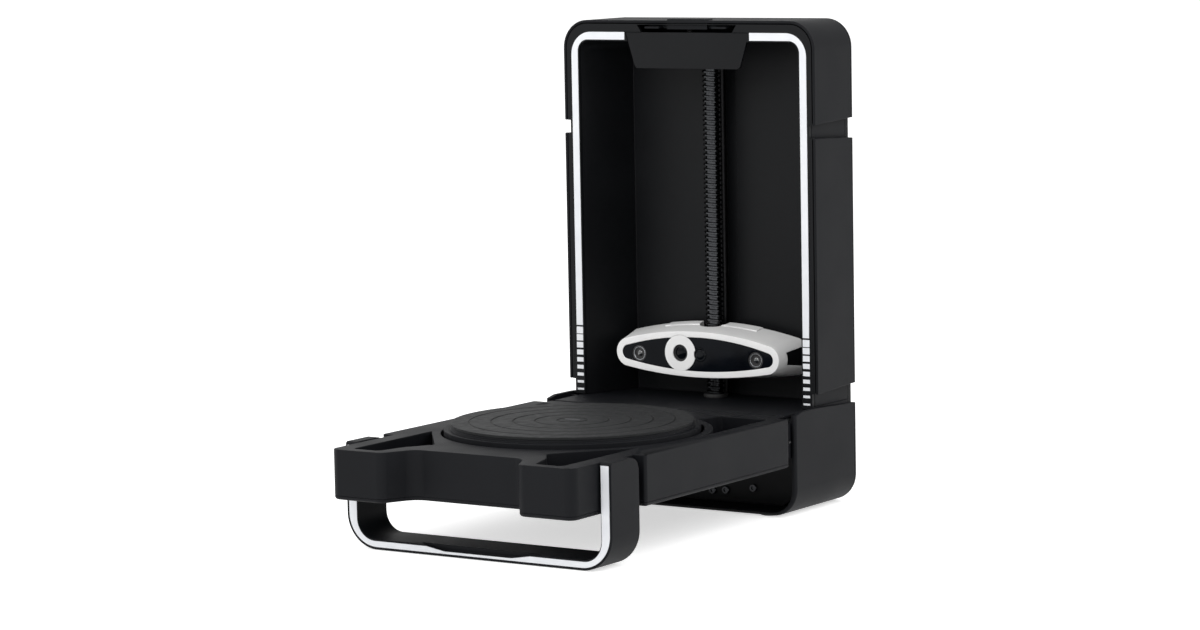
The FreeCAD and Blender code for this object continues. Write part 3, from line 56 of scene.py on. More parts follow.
# The frame's Y starts at the middle of the whole scanner; the tower's front face lies this far behind it.
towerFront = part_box("front_bezel")[0].y


def place(x, y, z):
    # A point given in millimetres from the middle of the tower's front face, at table level.
    return Vector((x * mm, towerFront + y * mm, z * mm))


# Camera: place in millimetres, turns in degrees, lens in millimetres, clipping in metres

cameraSetup = {
    "location": (1426.6, -2258.9, 441.8),
    "azimuth": 33.66, "down": 6.53, "roll": -1.07,
    "focal": 112.8, "sensor": 36,
    "nearest": 0.05, "farthest": 60,
}


def makeCamera():
    data = bpy.data.cameras.new("camera")
    data.lens = cameraSetup["focal"]
    data.sensor_width = cameraSetup["sensor"]
    data.clip_start = cameraSetup["nearest"]
    data.clip_end = cameraSetup["farthest"]
    camera = bpy.data.objects.new("camera", data)
    bpy.context.scene.collection.objects.link(camera)
    turn, tilt = math.radians(cameraSetup["azimuth"]), math.radians(cameraSetup["down"])
    roll = math.radians(cameraSetup["roll"])
    back = Vector((math.sin(turn) * math.cos(tilt), -math.cos(turn) * math.cos(tilt), math.sin(tilt)))
    right = (-back).cross(Vector((0, 0, 1))).normalized()
    up = right.cross(-back)
    across = right * math.cos(roll) + up * math.sin(roll)
    upright = up * math.cos(roll) - right * math.sin(roll)
    matrix = Matrix((across, upright, back)).transposed().to_4x4()
    matrix.translation = place(*cameraSetup["location"])
    camera.matrix_world = matrix
    bpy.context.scene.camera = camera


makeCamera()
bpy.context.scene.view_settings.view_transform = "Standard"


# Small tools for node trees

# Noise seldom leaves this range, so all that a material varies by is spread over it
noiseLow, noiseHigh = 0.3, 0.7


def linear(code):
    # An sRGB hex colour as the linear numbers that the shaders want.
    parts = [int(code[i:i + 2], 16) / 255 for i in (1, 3, 5)]
    return tuple(p / 12.92 if p <= 0.04045 else ((p + 0.055) / 1.055) ** 2.4 for p in parts) + (1,)


def addNode(tree, kind, links=None, **settings):
    # links holds a number, a vector or another node's output for each input, by its name or place.
    node = tree.nodes.new(kind)
    for name, value in settings.items():
        setattr(node, name, value)
    for key, value in (links or {}).items():
        if isinstance(value, bpy.types.NodeSocket):
            tree.links.new(value, node.inputs[key])
        else:
            node.inputs[key].default_value = value
    return node


def maths(tree, sign, first, second):
    # sign is one of four signs, or the name of another operation.
    words = {"+": "ADD", "-": "SUBTRACT", "*": "MULTIPLY", "/": "DIVIDE"}
    return addNode(tree, "ShaderNodeMath", {0: first, 1: second}, operation=words.get(sign, sign)).outputs[0]


def newMaterial(name):
    material = bpy.data.materials.new(name)
    material.use_nodes = True
    tree = material.node_tree
    tree.nodes.clear()
    shader = addNode(tree, "ShaderNodeBsdfPrincipled")
    addNode(tree, "ShaderNodeOutputMaterial", {"Surface": shader.outputs[0]})
    return material, tree, shader


def noise(tree, size, detail=2, stretch=(1, 1, 1)):
    # Noise whose lumps are size millimetres across.
    spot = addNode(tree, "ShaderNodeTexCoord").outputs["Object"]
    if stretch != (1, 1, 1):
        spot = addNode(tree, "ShaderNodeMapping", {0: spot, "Scale": stretch}).outputs[0]
    links = {"Vector": spot, "Scale": 1 / (size * mm), "Detail": detail}
    return addNode(tree, "ShaderNodeTexNoise", links).outputs[0]


def spread(tree, factor, low, high):
    links = {0: factor, 1: noiseLow, 2: noiseHigh, 3: low, 4: high}
    return addNode(tree, "ShaderNodeMapRange", links).outputs[0]


def tint(tree, factor, first, second):
    ramp = addNode(tree, "ShaderNodeValToRGB", {0: factor})
    stops = ramp.color_ramp.elements
    stops[0].position, stops[1].position = noiseLow, noiseHigh
    stops[0].color, stops[1].color = linear(first), linear(second)
    return ramp.outputs[0]


def coat(tree, shader, colour, roughness, constants=None):
    # Colour and roughness vary over the surface; constants has the sockets that hold one value.
    tree.links.new(colour, shader.inputs["Base Color"])
    tree.links.new(roughness, shader.inputs["Roughness"])
    for name, value in (constants or {}).items():
        shader.inputs[name].default_value = value


def raised(tree, shader, height, depth):
    # Bump whose full height is depth millimetres.
    bump = addNode(tree, "ShaderNodeBump", {"Strength": 1, "Distance": depth * mm, "Height": height})
    tree.links.new(bump.outputs[0], shader.inputs["Normal"])


# Materials, each named for the real one

# The mat's ring grooves, in millimetres: the first groove's radius, the step to the next, and how far from a
# groove's middle the painted shade is full and where the plain rubber starts
matRings = {"first": 10.3, "pitch": 15.1, "dark": 0.36, "wide": 0.9}


def sparkTexturedAbs():
    # Black ABS from a spark-eroded mould: an even dull sheen with a fine grain and no gloss.
    # The real grain is near 0.1 mm; it is drawn 0.5 mm wide so that it shows.
    material, tree, shader = newMaterial("black ABS, spark-eroded mould")
    cloud = noise(tree, 45)
    coat(tree, shader, tint(tree, cloud, "#0c0d10", "#101114"), spread(tree, cloud, 0.5, 0.58),
         {"IOR": 1.52, "Specular IOR Level": 0.1})
    raised(tree, shader, noise(tree, 0.5, 3), 0.05)
    return material


def satinAbs():
    # The bezel and the lining come from a smoother mould: a shallower grain, a touch darker and a little
    # shinier. On the base's hollow front panel that touch darker stands in as painted shade.
    material, tree, shader = newMaterial("black ABS, satin mould")
    cloud = noise(tree, 60)
    coat(tree, shader, tint(tree, cloud, "#0c0d0f", "#0f1012"), spread(tree, cloud, 0.42, 0.5),
         {"IOR": 1.52, "Specular IOR Level": 0.12})
    raised(tree, shader, noise(tree, 0.7, 3), 0.03)
    return material


def paleInlay():
    # Pad-printed polycarbonate strip: nearly white, cool and evenly satin.
    material, tree, shader = newMaterial("pale polycarbonate inlay")
    coat(tree, shader, tint(tree, noise(tree, 12), "#dcdee2", "#e2e4e7"),
         spread(tree, noise(tree, 2), 0.36, 0.44), {"IOR": 1.58})
    raised(tree, shader, noise(tree, 0.8), 0.01)
    return material


def whiteAbs():
    # The head's white ABS, moulded in a finely stoned tool: a soft highlight and a faint grain.
    material, tree, shader = newMaterial("white ABS, stoned mould")
    cloud = noise(tree, 25)
    coat(tree, shader, tint(tree, cloud, "#e6e6e6", "#ececeb"), spread(tree, cloud, 0.33, 0.4),
         {"IOR": 1.52})
    raised(tree, shader, noise(tree, 0.6, 3), 0.012)
    return material


def smokedAcrylic():
    # The window: near-black acrylic, polished, that only gives back the lights.
    material, tree, shader = newMaterial("smoked acrylic, polished")
    coat(tree, shader, tint(tree, noise(tree, 20), "#04060b", "#070b11"),
         spread(tree, noise(tree, 8), 0.08, 0.13), {"IOR": 1.49, "Specular IOR Level": 0.07})
    return material


def coatedGlass():
    # Lens glass with an anti-reflection coating, so it gives back far less light than bare glass.
    material, tree, shader = newMaterial("coated lens glass")
    coat(tree, shader, tint(tree, noise(tree, 3), "#06080b", "#0a0e13"),
         spread(tree, noise(tree, 1.5), 0.02, 0.05), {"IOR": 1.7, "Specular IOR Level": 0.06})
    return material


def clearGlass():
    # The lasers' uncoated glass, which gives a small bright glint.
    material, tree, shader = newMaterial("clear optical glass on a dark seat")
    coat(tree, shader, tint(tree, noise(tree, 2), "#15181a", "#24282b"),
         spread(tree, noise(tree, 1), 0.02, 0.05), {"IOR": 1.7, "Coat Weight": 1, "Coat Roughness": 0.02})
    return material


def metal(name, first, second, low, high, lay=(1, 1, 1), size=1.2):
    # lay squeezes the marks of the making along one axis; size is theirs, in millimetres.
    material, tree, shader = newMaterial(name)
    marks = noise(tree, size, 3, lay)
    coat(tree, shader, tint(tree, marks, first, second), spread(tree, marks, low, high), {"Metallic": 1})
    raised(tree, shader, marks, 0.006)
    return material


def blackenedSteel():
    # Black oxide on the guide rod, the spring and the small screws: near-black metal with an oily sheen.
    return metal("black oxide steel", "#1c1c1d", "#29292a", 0.34, 0.46)


def phosphatedSteel():
    # The lead screw's rolled thread and the panel screws: grey phosphate with a dull shine.
    return metal("phosphated steel", "#303133", "#434446", 0.2, 0.28)


def groundSteel():
    # Ground bar stock, with fine marks that run round an upright bar.
    return metal("ground steel", "#8e9094", "#a3a5a8", 0.2, 0.3, (1, 1, 8))


def turnedBrass():
    # Turned brass, slightly dulled by handling.
    return metal("turned brass", "#b08c4e", "#c39d5c", 0.24, 0.36, (1, 1, 6))


def pressedSteel():
    # Zinc-plated pressed sheet: a mottled spangle.
    return metal("zinc-plated pressed steel", "#7b7d80", "#979a9d", 0.32, 0.46, size=6)


def paintedSteel():
    # Motor cans in black stoving enamel with a slight orange peel.
    material, tree, shader = newMaterial("black stoving enamel on steel")
    coat(tree, shader, tint(tree, noise(tree, 15), "#18191a", "#1f2021"),
         spread(tree, noise(tree, 4), 0.36, 0.46))
    raised(tree, shader, noise(tree, 1.6), 0.02)
    return material


def mouldedRubber():
    # Silicone-like rubber of the feet and the belt: matt, with a dusty bloom and a very fine tooth.
    material, tree, shader = newMaterial("moulded rubber, matt")
    coat(tree, shader, tint(tree, noise(tree, 18, 4), "#131415", "#1a1b1c"),
         spread(tree, noise(tree, 6), 0.62, 0.74), {"IOR": 1.5, "Specular IOR Level": 0.25})
    raised(tree, shader, noise(tree, 0.6, 3), 0.04)
    return material


def grooveShadedRubber():
    # The turntable's mat: the same rubber, with shade painted nearly black into its ring grooves, where the
    # light doesn't reach.
    material, tree, shader = newMaterial("moulded rubber, ringed")
    low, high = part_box("rubber_mat")
    middle = (low + high) / 2
    spot = addNode(tree, "ShaderNodeTexCoord").outputs["Object"]
    flat = addNode(tree, "ShaderNodeVectorMath", {0: spot, 1: middle}, operation="SUBTRACT").outputs[0]
    flat = addNode(tree, "ShaderNodeVectorMath", {0: flat, 1: (1, 1, 0)}, operation="MULTIPLY").outputs[0]
    reach = addNode(tree, "ShaderNodeVectorMath", {0: flat}, operation="LENGTH").outputs["Value"]
    # Painted shade: #020202 in the middle of each ring groove, fading out to the plain rubber.
    away = maths(tree, "-", reach, matRings["first"] * mm)
    away = maths(tree, "PINGPONG", away, matRings["pitch"] / 2 * mm)
    shade = addNode(tree, "ShaderNodeMapRange", {
        0: away, 1: matRings["dark"] * mm, 2: matRings["wide"] * mm}).outputs[0]
    plain = tint(tree, noise(tree, 18, 4), "#151617", "#1c1d1e")
    mixed = addNode(tree, "ShaderNodeMix", {0: shade, 6: linear("#020202"), 7: plain}, data_type="RGBA")
    coat(tree, shader, mixed.outputs[2], spread(tree, noise(tree, 6), 0.6, 0.72),
         {"IOR": 1.5, "Specular IOR Level": 0.25})
    raised(tree, shader, noise(tree, 0.6, 3), 0.04)
    return material


def greyPrint():
    # Grey silicone ink of the mat's centre mark: matt and a little uneven.
    material, tree, shader = newMaterial("grey silicone print")
    coat(tree, shader, tint(tree, noise(tree, 2, 4), "#3c3d3f", "#4c4d4f"),
         spread(tree, noise(tree, 3), 0.6, 0.7), {"IOR": 1.43})
    return material


def glassEpoxyBoard():
    # FR4 under green solder mask: tracks show as slightly lighter lines, 2.5 mm apart.
    material, tree, shader = newMaterial("FR4 board, green solder mask")
    spot = addNode(tree, "ShaderNodeTexCoord").outputs["Object"]
    rowsPerStep = 4  # the brick texture lays this many rows to one unit of its scale
    tracks = addNode(tree, "ShaderNodeTexBrick", {
        "Vector": spot, "Scale": 1 / (2.5 * rowsPerStep * mm), "Mortar Size": 0.03,
        "Color1": linear("#0d4a2a"), "Color2": linear("#10522f"), "Mortar": linear("#2c7a4c")})
    coat(tree, shader, tracks.outputs[0], spread(tree, noise(tree, 3), 0.25, 0.35))
    raised(tree, shader, tracks.outputs[1], 0.03)
    return material


def blackNylon():
    # Glass-filled nylon of the sockets, bearings and barrels: duller than ABS, with 1.5 mm streaks of fibre.
    material, tree, shader = newMaterial("glass-filled black nylon")
    streaks = (1, 5, 1)
    coat(tree, shader, tint(tree, noise(tree, 1.5, 3, streaks), "#161617", "#202021"),
         spread(tree, noise(tree, 1.2, 3, streaks), 0.5, 0.62))
    return material


casing, bezel, inlay, white = sparkTexturedAbs(), satinAbs(), paleInlay(), whiteAbs()
acrylic, glass, oxide, steel = smokedAcrylic(), coatedGlass(), blackenedSteel(), groundSteel()
brass, sheetSteel, enamel = turnedBrass(), pressedSteel(), paintedSteel()
rubber, boardFinish, nylon, ink = mouldedRubber(), glassEpoxyBoard(), blackNylon(), greyPrint()
phosphate, paintedGrooveShade, bareGlass = phosphatedSteel(), grooveShadedRubber(), clearGlass()

finishes = {
    "tower_shell": casing, "base_shell": casing, "rear_cover": casing, "base_top_plate": casing,
    # base_front_panel takes the darker satin ABS as painted shade in the base's hollow.
    "base_front_panel": bezel, "bed_tray": casing, "bed_bottom_cover": casing, "bed_hinge_arms": casing,
    "handle_loop": casing, "latch_button": casing, "front_bezel": bezel, "nameplate": bezel,
    "nameplate_bracket": bezel, "cavity_liner": bezel, "stripe_inlay": inlay, "level_bars": inlay,
    "handle_stripe": inlay, "head_shell": white, "camera_ring": white, "head_rear_cover": bezel,
    "side_vents": bezel, "head_window": acrylic, "camera_barrel": nylon, "camera_lens": glass,
    "sensor_knob": glass, "laser_lenses": bareGlass, "laser_modules": brass, "head_board": boardFinish,
    "control_board": boardFinish, "head_carriage": nylon, "lead_nut": brass, "guide_bush": brass,
    "lead_screw": phosphate, "guide_rod": oxide, "screw_coupling": steel, "lower_bearing": nylon,
    "upper_bearing": nylon, "lift_motor": enamel, "turntable_motor": enamel, "motor_bracket": sheetSteel,
    "hinge_brackets": sheetSteel, "hinge_pins": steel, "handle_pivot_pins": steel, "bed_stop_pins": oxide,
    "turntable_bearing": steel, "spindle": steel, "platter": casing, "rubber_mat": paintedGrooveShade, "centre_mark": ink,
    "platter_pulley": nylon, "motor_pulley": brass, "drive_belt": rubber, "base_feet": rubber,
    "handle_feet": rubber, "power_jack": nylon, "usb_socket": nylon, "latch_spring": oxide,
    "panel_screws": phosphate, "rear_cover_screws": oxide, "bed_screws": oxide,
}
for name, node in nodes.items():
    node.data.materials.clear()
    node.data.materials.append(finishes[name])
print("materials:", len(bpy.data.materials))


# Making pieces

weld = 0.003 * mm  # points nearer than this are one

bodyOf = {node: body for body, held in frame["record"]["behaviour"]["bodies"].items() for node in held}


def settle(name, mesh, material, node, hides=True):
    # The finished mesh becomes a piece on the node's body, and stands for the node if it hides it.
    piece = bpy.data.objects.new(name, mesh)
    bpy.context.scene.collection.objects.link(piece)
    mesh.materials.clear()
    mesh.materials.append(material)
    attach(piece, bodyOf[node])
    if hides:
        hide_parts(node)
    return piece


def baked(holder):
    # What the holder's modifiers make of it, as one mesh of its own.
    graph = bpy.context.evaluated_depsgraph_get()
    mesh = bpy.data.meshes.new_from_object(holder.evaluated_get(graph))
    bpy.data.objects.remove(holder)
    return mesh


def smoothed(mesh, angle=35):
    # Smooth, but for edges that turn by more than the angle in degrees.
    mesh.shade_smooth()
    mesh.set_sharp_from_angle(angle=math.radians(angle))
    return mesh


# Parts with softened edges: how wide each one's edge rounding is, in millimetres
softened = {
    "tower_shell": 0.5, "front_bezel": 0.25, "nameplate": 0.3, "base_shell": 0.5, "base_top_plate": 0.3,
    "latch_button": 0.25, "bed_tray": 0.6, "handle_loop": 0.35, "platter": 0.5, "rubber_mat": 0.3,
    "head_shell": 0.35, "cavity_liner": 0.25, "stripe_inlay": 0.12, "hinge_brackets": 0.3,
    "bed_hinge_arms": 0.3, "lift_motor": 0.6, "turntable_motor": 0.6, "motor_bracket": 0.25,
    "head_carriage": 0.3, "guide_rod": 0.4, "lower_bearing": 0.3, "upper_bearing": 0.3, "drive_belt": 0.2,
    "platter_pulley": 0.3, "motor_pulley": 0.25, "lead_nut": 0.3, "head_window": 0.15, "screw_coupling": 0.3,
    "base_feet": 0.2, "handle_feet": 0.1, "spindle": 0.3, "hinge_pins": 0.3, "handle_pivot_pins": 0.3,
}
# Edges that turn by more than fromAngle, in degrees, are rounded. A sound rounding stands no prouder of the
# part than proud, in millimetres, and no deeper in it than deepShare of its width.
rounding = {"segments": 2, "fromAngle": 40, "proud": 0.01, "deepShare": 0.45}


def camel(name):
    # bed_tray becomes bedTray.
    words = name.split("_")
    return words[0] + "".join(word.title() for word in words[1:])


def tamed(mesh, hard, width):
    # Where a bevel overran a short edge, its points go back to the hard-edged part's own surface.
    proud, deep = rounding["proud"] * mm, rounding["deepShare"] * width * mm
    surface = BVHTree.FromPolygons([vert.co.copy() for vert in hard.vertices],
                                   [tuple(face.vertices) for face in hard.polygons])
    for vert in mesh.vertices:
        nearest, normal, _, apart = surface.find_nearest(vert.co)
        if (vert.co - nearest).dot(normal) > proud or apart > deep:
            vert.co = nearest
    return mesh


def soften(name, width):
    mesh = nodes[name].data.copy()
    form = bmesh.new()
    form.from_mesh(mesh)
    bmesh.ops.remove_doubles(form, verts=form.verts, dist=weld)
    form.to_mesh(mesh)
    form.free()
    mesh.shade_smooth()
    holder = bpy.data.objects.new("softening", mesh)
    bpy.context.scene.collection.objects.link(holder)
    bevel = holder.modifiers.new("edges", "BEVEL")
    bevel.width = width * mm
    bevel.segments = rounding["segments"]
    bevel.limit_method = "ANGLE"
    bevel.angle_limit = math.radians(rounding["fromAngle"])
    bevel.use_clamp_overlap = False
    bevel.miter_outer = "MITER_ARC"
    even = holder.modifiers.new("even", "WEIGHTED_NORMAL")
    even.keep_sharp = True
    settle(camel(name), tamed(baked(holder), nodes[name].data, width), finishes[name], name)


for name, width in softened.items():
    soften(name, width)
print("softened edges:", len(softened))


# Trees for what repeats or winds: screws, the lead screw's thread and the latch spring

def newTree(name, sizes, **others):
    # The tree takes points in and gives one mesh out. Its other inputs are the named sizes, the finish and
    # what others adds, each with its kind of socket.
    tree = bpy.data.node_groups.new(name, "GeometryNodeTree")
    kinds = {"points": "Geometry", **{label: "Float" for label in sizes}, **others, "finish": "Material"}
    for label, kind in kinds.items():
        tree.interface.new_socket(label, in_out="INPUT", socket_type="NodeSocket" + kind)
    tree.interface.new_socket("mesh", in_out="OUTPUT", socket_type="NodeSocketGeometry")
    return tree, addNode(tree, "NodeGroupInput").outputs


def inMetres(sizes, **others):
    # The sizes are in millimetres; others holds what isn't a size and replaces any of them of its name.
    return {**{label: size * mm for label, size in sizes.items()}, **others}


def cylinder(tree, radius, high, facets):
    # A closed cylinder that stands with its middle at the origin.
    return addNode(tree, "GeometryNodeMeshCylinder", {
        "Vertices": facets, "Radius": radius, "Depth": high}).outputs


def upward(tree, geometry, height):
    shift = addNode(tree, "ShaderNodeCombineXYZ", {"Z": height}).outputs[0]
    return addNode(tree, "GeometryNodeTransform", {"Geometry": geometry, "Translation": shift}).outputs[0]


def joined(tree, *parts):
    join = addNode(tree, "GeometryNodeJoinGeometry")
    for part in parts:
        tree.links.new(part, join.inputs[0])
    return join.outputs[0]


def closeTree(tree, geometry, finish):
    real = addNode(tree, "GeometryNodeRealizeInstances", {0: geometry}).outputs[0]
    coated = addNode(tree, "GeometryNodeSetMaterial", {"Geometry": real, "Material": finish}).outputs[0]
    addNode(tree, "NodeGroupOutput", {0: coated})


def grown(tree, points, values):
    # What the tree makes at the points, as one plain mesh; each input is set by its socket's identifier.
    holder = bpy.data.objects.new("holder", bpy.data.meshes.new("points"))
    holder.data.from_pydata(points, [], [])
    bpy.context.scene.collection.objects.link(holder)
    modifier = holder.modifiers.new("grow", "NODES")
    modifier.node_group = tree
    for item in tree.interface.items_tree:
        if item.in_out == "INPUT" and item.name in values:
            modifier[item.identifier] = values[item.name]
    return smoothed(baked(holder))


# Cap screws, in millimetres: what they share, then each group's own, whose turn is the way the heads face,
# in degrees about X
capScrew = {"headRadius": 2.9, "headHigh": 1.6, "chamfer": 0.35, "keyRadius": 1.5, "shankRadius": 1.5}
screwGroups = {
    "panel_screws": {"turn": 90, "shankLong": 8, "spots": [
        (54, -5, 14.5), (-54, -5, 14.5), (31, -5, 11.4), (-31, -5, 11.4), (20, -5, 10.6), (-20, -5, 10.6)]},
    "rear_cover_screws": {"turn": -90, "shankLong": 2.3, "spots": [
        (side * 86, 52.8, high) for side in (1, -1) for high in (18, 200, 326)]},
    "bed_screws": {"turn": 180, "shankLong": 8, "spots": [
        (side * across, back, 39.7) for side in (1, -1)
        for across, back in ((88, -62), (88, -209), (76.25, -280))]},
}
screwFacets = {"head": 40, "key": 6, "shank": 24}


def screwTree():
    # A cap screw that stands on its point: chamfered head above, shank below, hexagon socket in the head.
    tree, given = newTree("cap screws", [*capScrew, "shankLong"], turn="Vector")
    straight = maths(tree, "-", given["headHigh"], given["chamfer"])
    barrel = cylinder(tree, given["headRadius"], straight, screwFacets["head"])
    rise = addNode(tree, "GeometryNodeExtrudeMesh", {
        "Mesh": barrel["Mesh"], "Selection": barrel["Top"], "Offset Scale": given["chamfer"]})
    small = maths(tree, "-", given["headRadius"], given["chamfer"])
    ratio = maths(tree, "/", small, given["headRadius"])
    head = addNode(tree, "GeometryNodeScaleElements", {
        "Geometry": rise.outputs["Mesh"], "Selection": rise.outputs["Top"], "Scale": ratio}).outputs[0]
    head = upward(tree, head, maths(tree, "*", straight, 0.5))
    key = cylinder(tree, given["keyRadius"], given["headHigh"], screwFacets["key"])["Mesh"]
    key = upward(tree, key, given["headHigh"])
    head = addNode(tree, "GeometryNodeMeshBoolean", {
        "Mesh 1": head, "Mesh 2": key}, operation="DIFFERENCE").outputs["Mesh"]
    shank = cylinder(tree, given["shankRadius"], given["shankLong"], screwFacets["shank"])["Mesh"]
    shank = upward(tree, shank, maths(tree, "*", given["shankLong"], -0.5))
    facing = addNode(tree, "FunctionNodeEulerToRotation", {0: given["turn"]}).outputs[0]
    spots = addNode(tree, "GeometryNodeInstanceOnPoints", {
        "Points": given["points"], "Instance": joined(tree, head, shank), "Rotation": facing}).outputs[0]
    closeTree(tree, spots, given["finish"])
    return tree


tree = screwTree()
for name, group in screwGroups.items():
    turn = (math.radians(group["turn"]), 0, 0)
    values = inMetres({**capScrew, "shankLong": group["shankLong"]}, turn=turn, finish=finishes[name])
    made = grown(tree, [place(*spot) for spot in group["spots"]], values)
    settle(camel(name), made, finishes[name], name)
print("cap screws:", sum(len(group["spots"]) for group in screwGroups.values()))


# Lead screw, in millimetres but for the turns
leadScrew = {
    "turns": 72, "threadHigh": 252.2, "threadLow": 74.9, "rootRadius": 5, "ridge": 1.8, "footWide": 2.2,
    "crestWide": 1, "journalRadius": 4, "journalLow": 64.4, "journalHigh": 331.65,
}
threadSteps = {"perTurn": 24, "core": 32}
ridgeSunk = 0.2  # the share of the ridge's height that its foot stands in the core


def threadTree():
    # A trapezoid ridge runs up round a core; the ends of the shaft stand out as plain journals.
    tree, given = newTree("lead screw", leadScrew)
    middle = maths(tree, "+", given["rootRadius"], maths(tree, "*", given["ridge"], 0.5 - ridgeSunk / 2))
    path = addNode(tree, "GeometryNodeCurveSpiral", {
        "Resolution": threadSteps["perTurn"], "Rotations": given["turns"], "Start Radius": middle,
        "End Radius": middle, "Height": given["threadHigh"]}).outputs[0]
    path = addNode(tree, "GeometryNodeSetCurveNormal", {0: path}, mode="Z_UP").outputs[0]
    section = addNode(tree, "GeometryNodeCurvePrimitiveQuadrilateral", {
        "Height": maths(tree, "*", given["ridge"], 1 + ridgeSunk), "Bottom Width": given["footWide"],
        "Top Width": given["crestWide"], "Offset": 0}, mode="TRAPEZOID").outputs[0]
    standing = addNode(tree, "GeometryNodeTransform", {
        "Geometry": section, "Rotation": (0, 0, math.radians(90))}).outputs[0]
    ridge = addNode(tree, "GeometryNodeCurveToMesh", {
        "Curve": path, "Profile Curve": standing, "Fill Caps": True}).outputs[0]
    ridge = upward(tree, ridge, given["threadLow"])
    core = cylinder(tree, given["rootRadius"], given["threadHigh"], threadSteps["core"])["Mesh"]
    half = maths(tree, "*", given["threadHigh"], 0.5)
    core = upward(tree, core, maths(tree, "+", given["threadLow"], half))
    tall = maths(tree, "-", given["journalHigh"], given["journalLow"])
    ends = cylinder(tree, given["journalRadius"], tall, threadSteps["core"])["Mesh"]
    half = maths(tree, "*", tall, 0.5)
    ends = upward(tree, ends, maths(tree, "+", given["journalLow"], half))
    spots = addNode(tree, "GeometryNodeInstanceOnPoints", {
        "Points": given["points"], "Instance": joined(tree, ridge, core, ends)}).outputs[0]
    closeTree(tree, spots, given["finish"])
    return tree


low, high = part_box("lead_screw")
axis = (low + high) / 2
values = inMetres(leadScrew, turns=leadScrew["turns"], finish=phosphate)
settle("leadScrew", grown(threadTree(), [(axis.x, axis.y, 0)], values), phosphate, "lead_screw")
print("lead screw: %.1f turns" % leadScrew["turns"])


# Latch spring, in millimetres but for the turns
latchSpring = {"turns": 5.5, "coilRadius": 2.5, "high": 5.9, "wireRadius": 0.5}
coilSteps = {"perTurn": 32, "wire": 12}


def coilTree():
    # Round wire wound in a plain coil.
    tree, given = newTree("coil spring", latchSpring)
    path = addNode(tree, "GeometryNodeCurveSpiral", {
        "Resolution": coilSteps["perTurn"], "Rotations": given["turns"], "Start Radius": given["coilRadius"],
        "End Radius": given["coilRadius"], "Height": given["high"]}).outputs[0]
    section = addNode(tree, "GeometryNodeCurvePrimitiveCircle", {
        "Resolution": coilSteps["wire"], "Radius": given["wireRadius"]}).outputs[0]
    coil = addNode(tree, "GeometryNodeCurveToMesh", {
        "Curve": path, "Profile Curve": section, "Fill Caps": True}).outputs[0]
    spots = addNode(tree, "GeometryNodeInstanceOnPoints", {
        "Points": given["points"], "Instance": coil}).outputs[0]
    closeTree(tree, spots, given["finish"])
    return tree


low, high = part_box("latch_spring")
foot = Vector(((low.x + high.x) / 2, (low.y + high.y) / 2, low.z + latchSpring["wireRadius"] * mm))
values = inMetres(latchSpring, turns=latchSpring["turns"], finish=oxide)
coil = settle("latchSpring", grown(coilTree(), [foot], values), oxide, "latch_spring")
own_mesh(coil)
print("latch spring: %.1f turns" % latchSpring["turns"])


# Lenses and small turned parts

def turned(spots, profile, steps=64):
    # The outline of (radius, depth behind the face) pairs is turned about an axis that runs front to back.
    form = bmesh.new()
    for spot in spots:
        centre = place(*spot)
        rings = []
        for radius, depth in profile:
            if radius == 0:
                rings.append([form.verts.new(centre + Vector((0, depth * mm, 0)))])
                continue
            ring = []
            for step in range(steps):
                angle = 2 * math.pi * step / steps
                ring.append(form.verts.new(centre + Vector((
                    radius * mm * math.cos(angle), depth * mm, radius * mm * math.sin(angle)))))
            rings.append(ring)
        for first, second in zip(rings, rings[1:]):
            for step in range(steps):
                corners = []
                for vert in (first[step % len(first)], first[(step + 1) % len(first)],
                             second[(step + 1) % len(second)], second[step % len(second)]):
                    if vert not in corners:
                        corners.append(vert)
                form.faces.new(corners)
    bmesh.ops.remove_doubles(form, verts=form.verts, dist=weld)
    bmesh.ops.recalc_face_normals(form, faces=form.faces)
    mesh = bpy.data.meshes.new("turned")
    form.to_mesh(mesh)
    form.free()
    return smoothed(mesh)


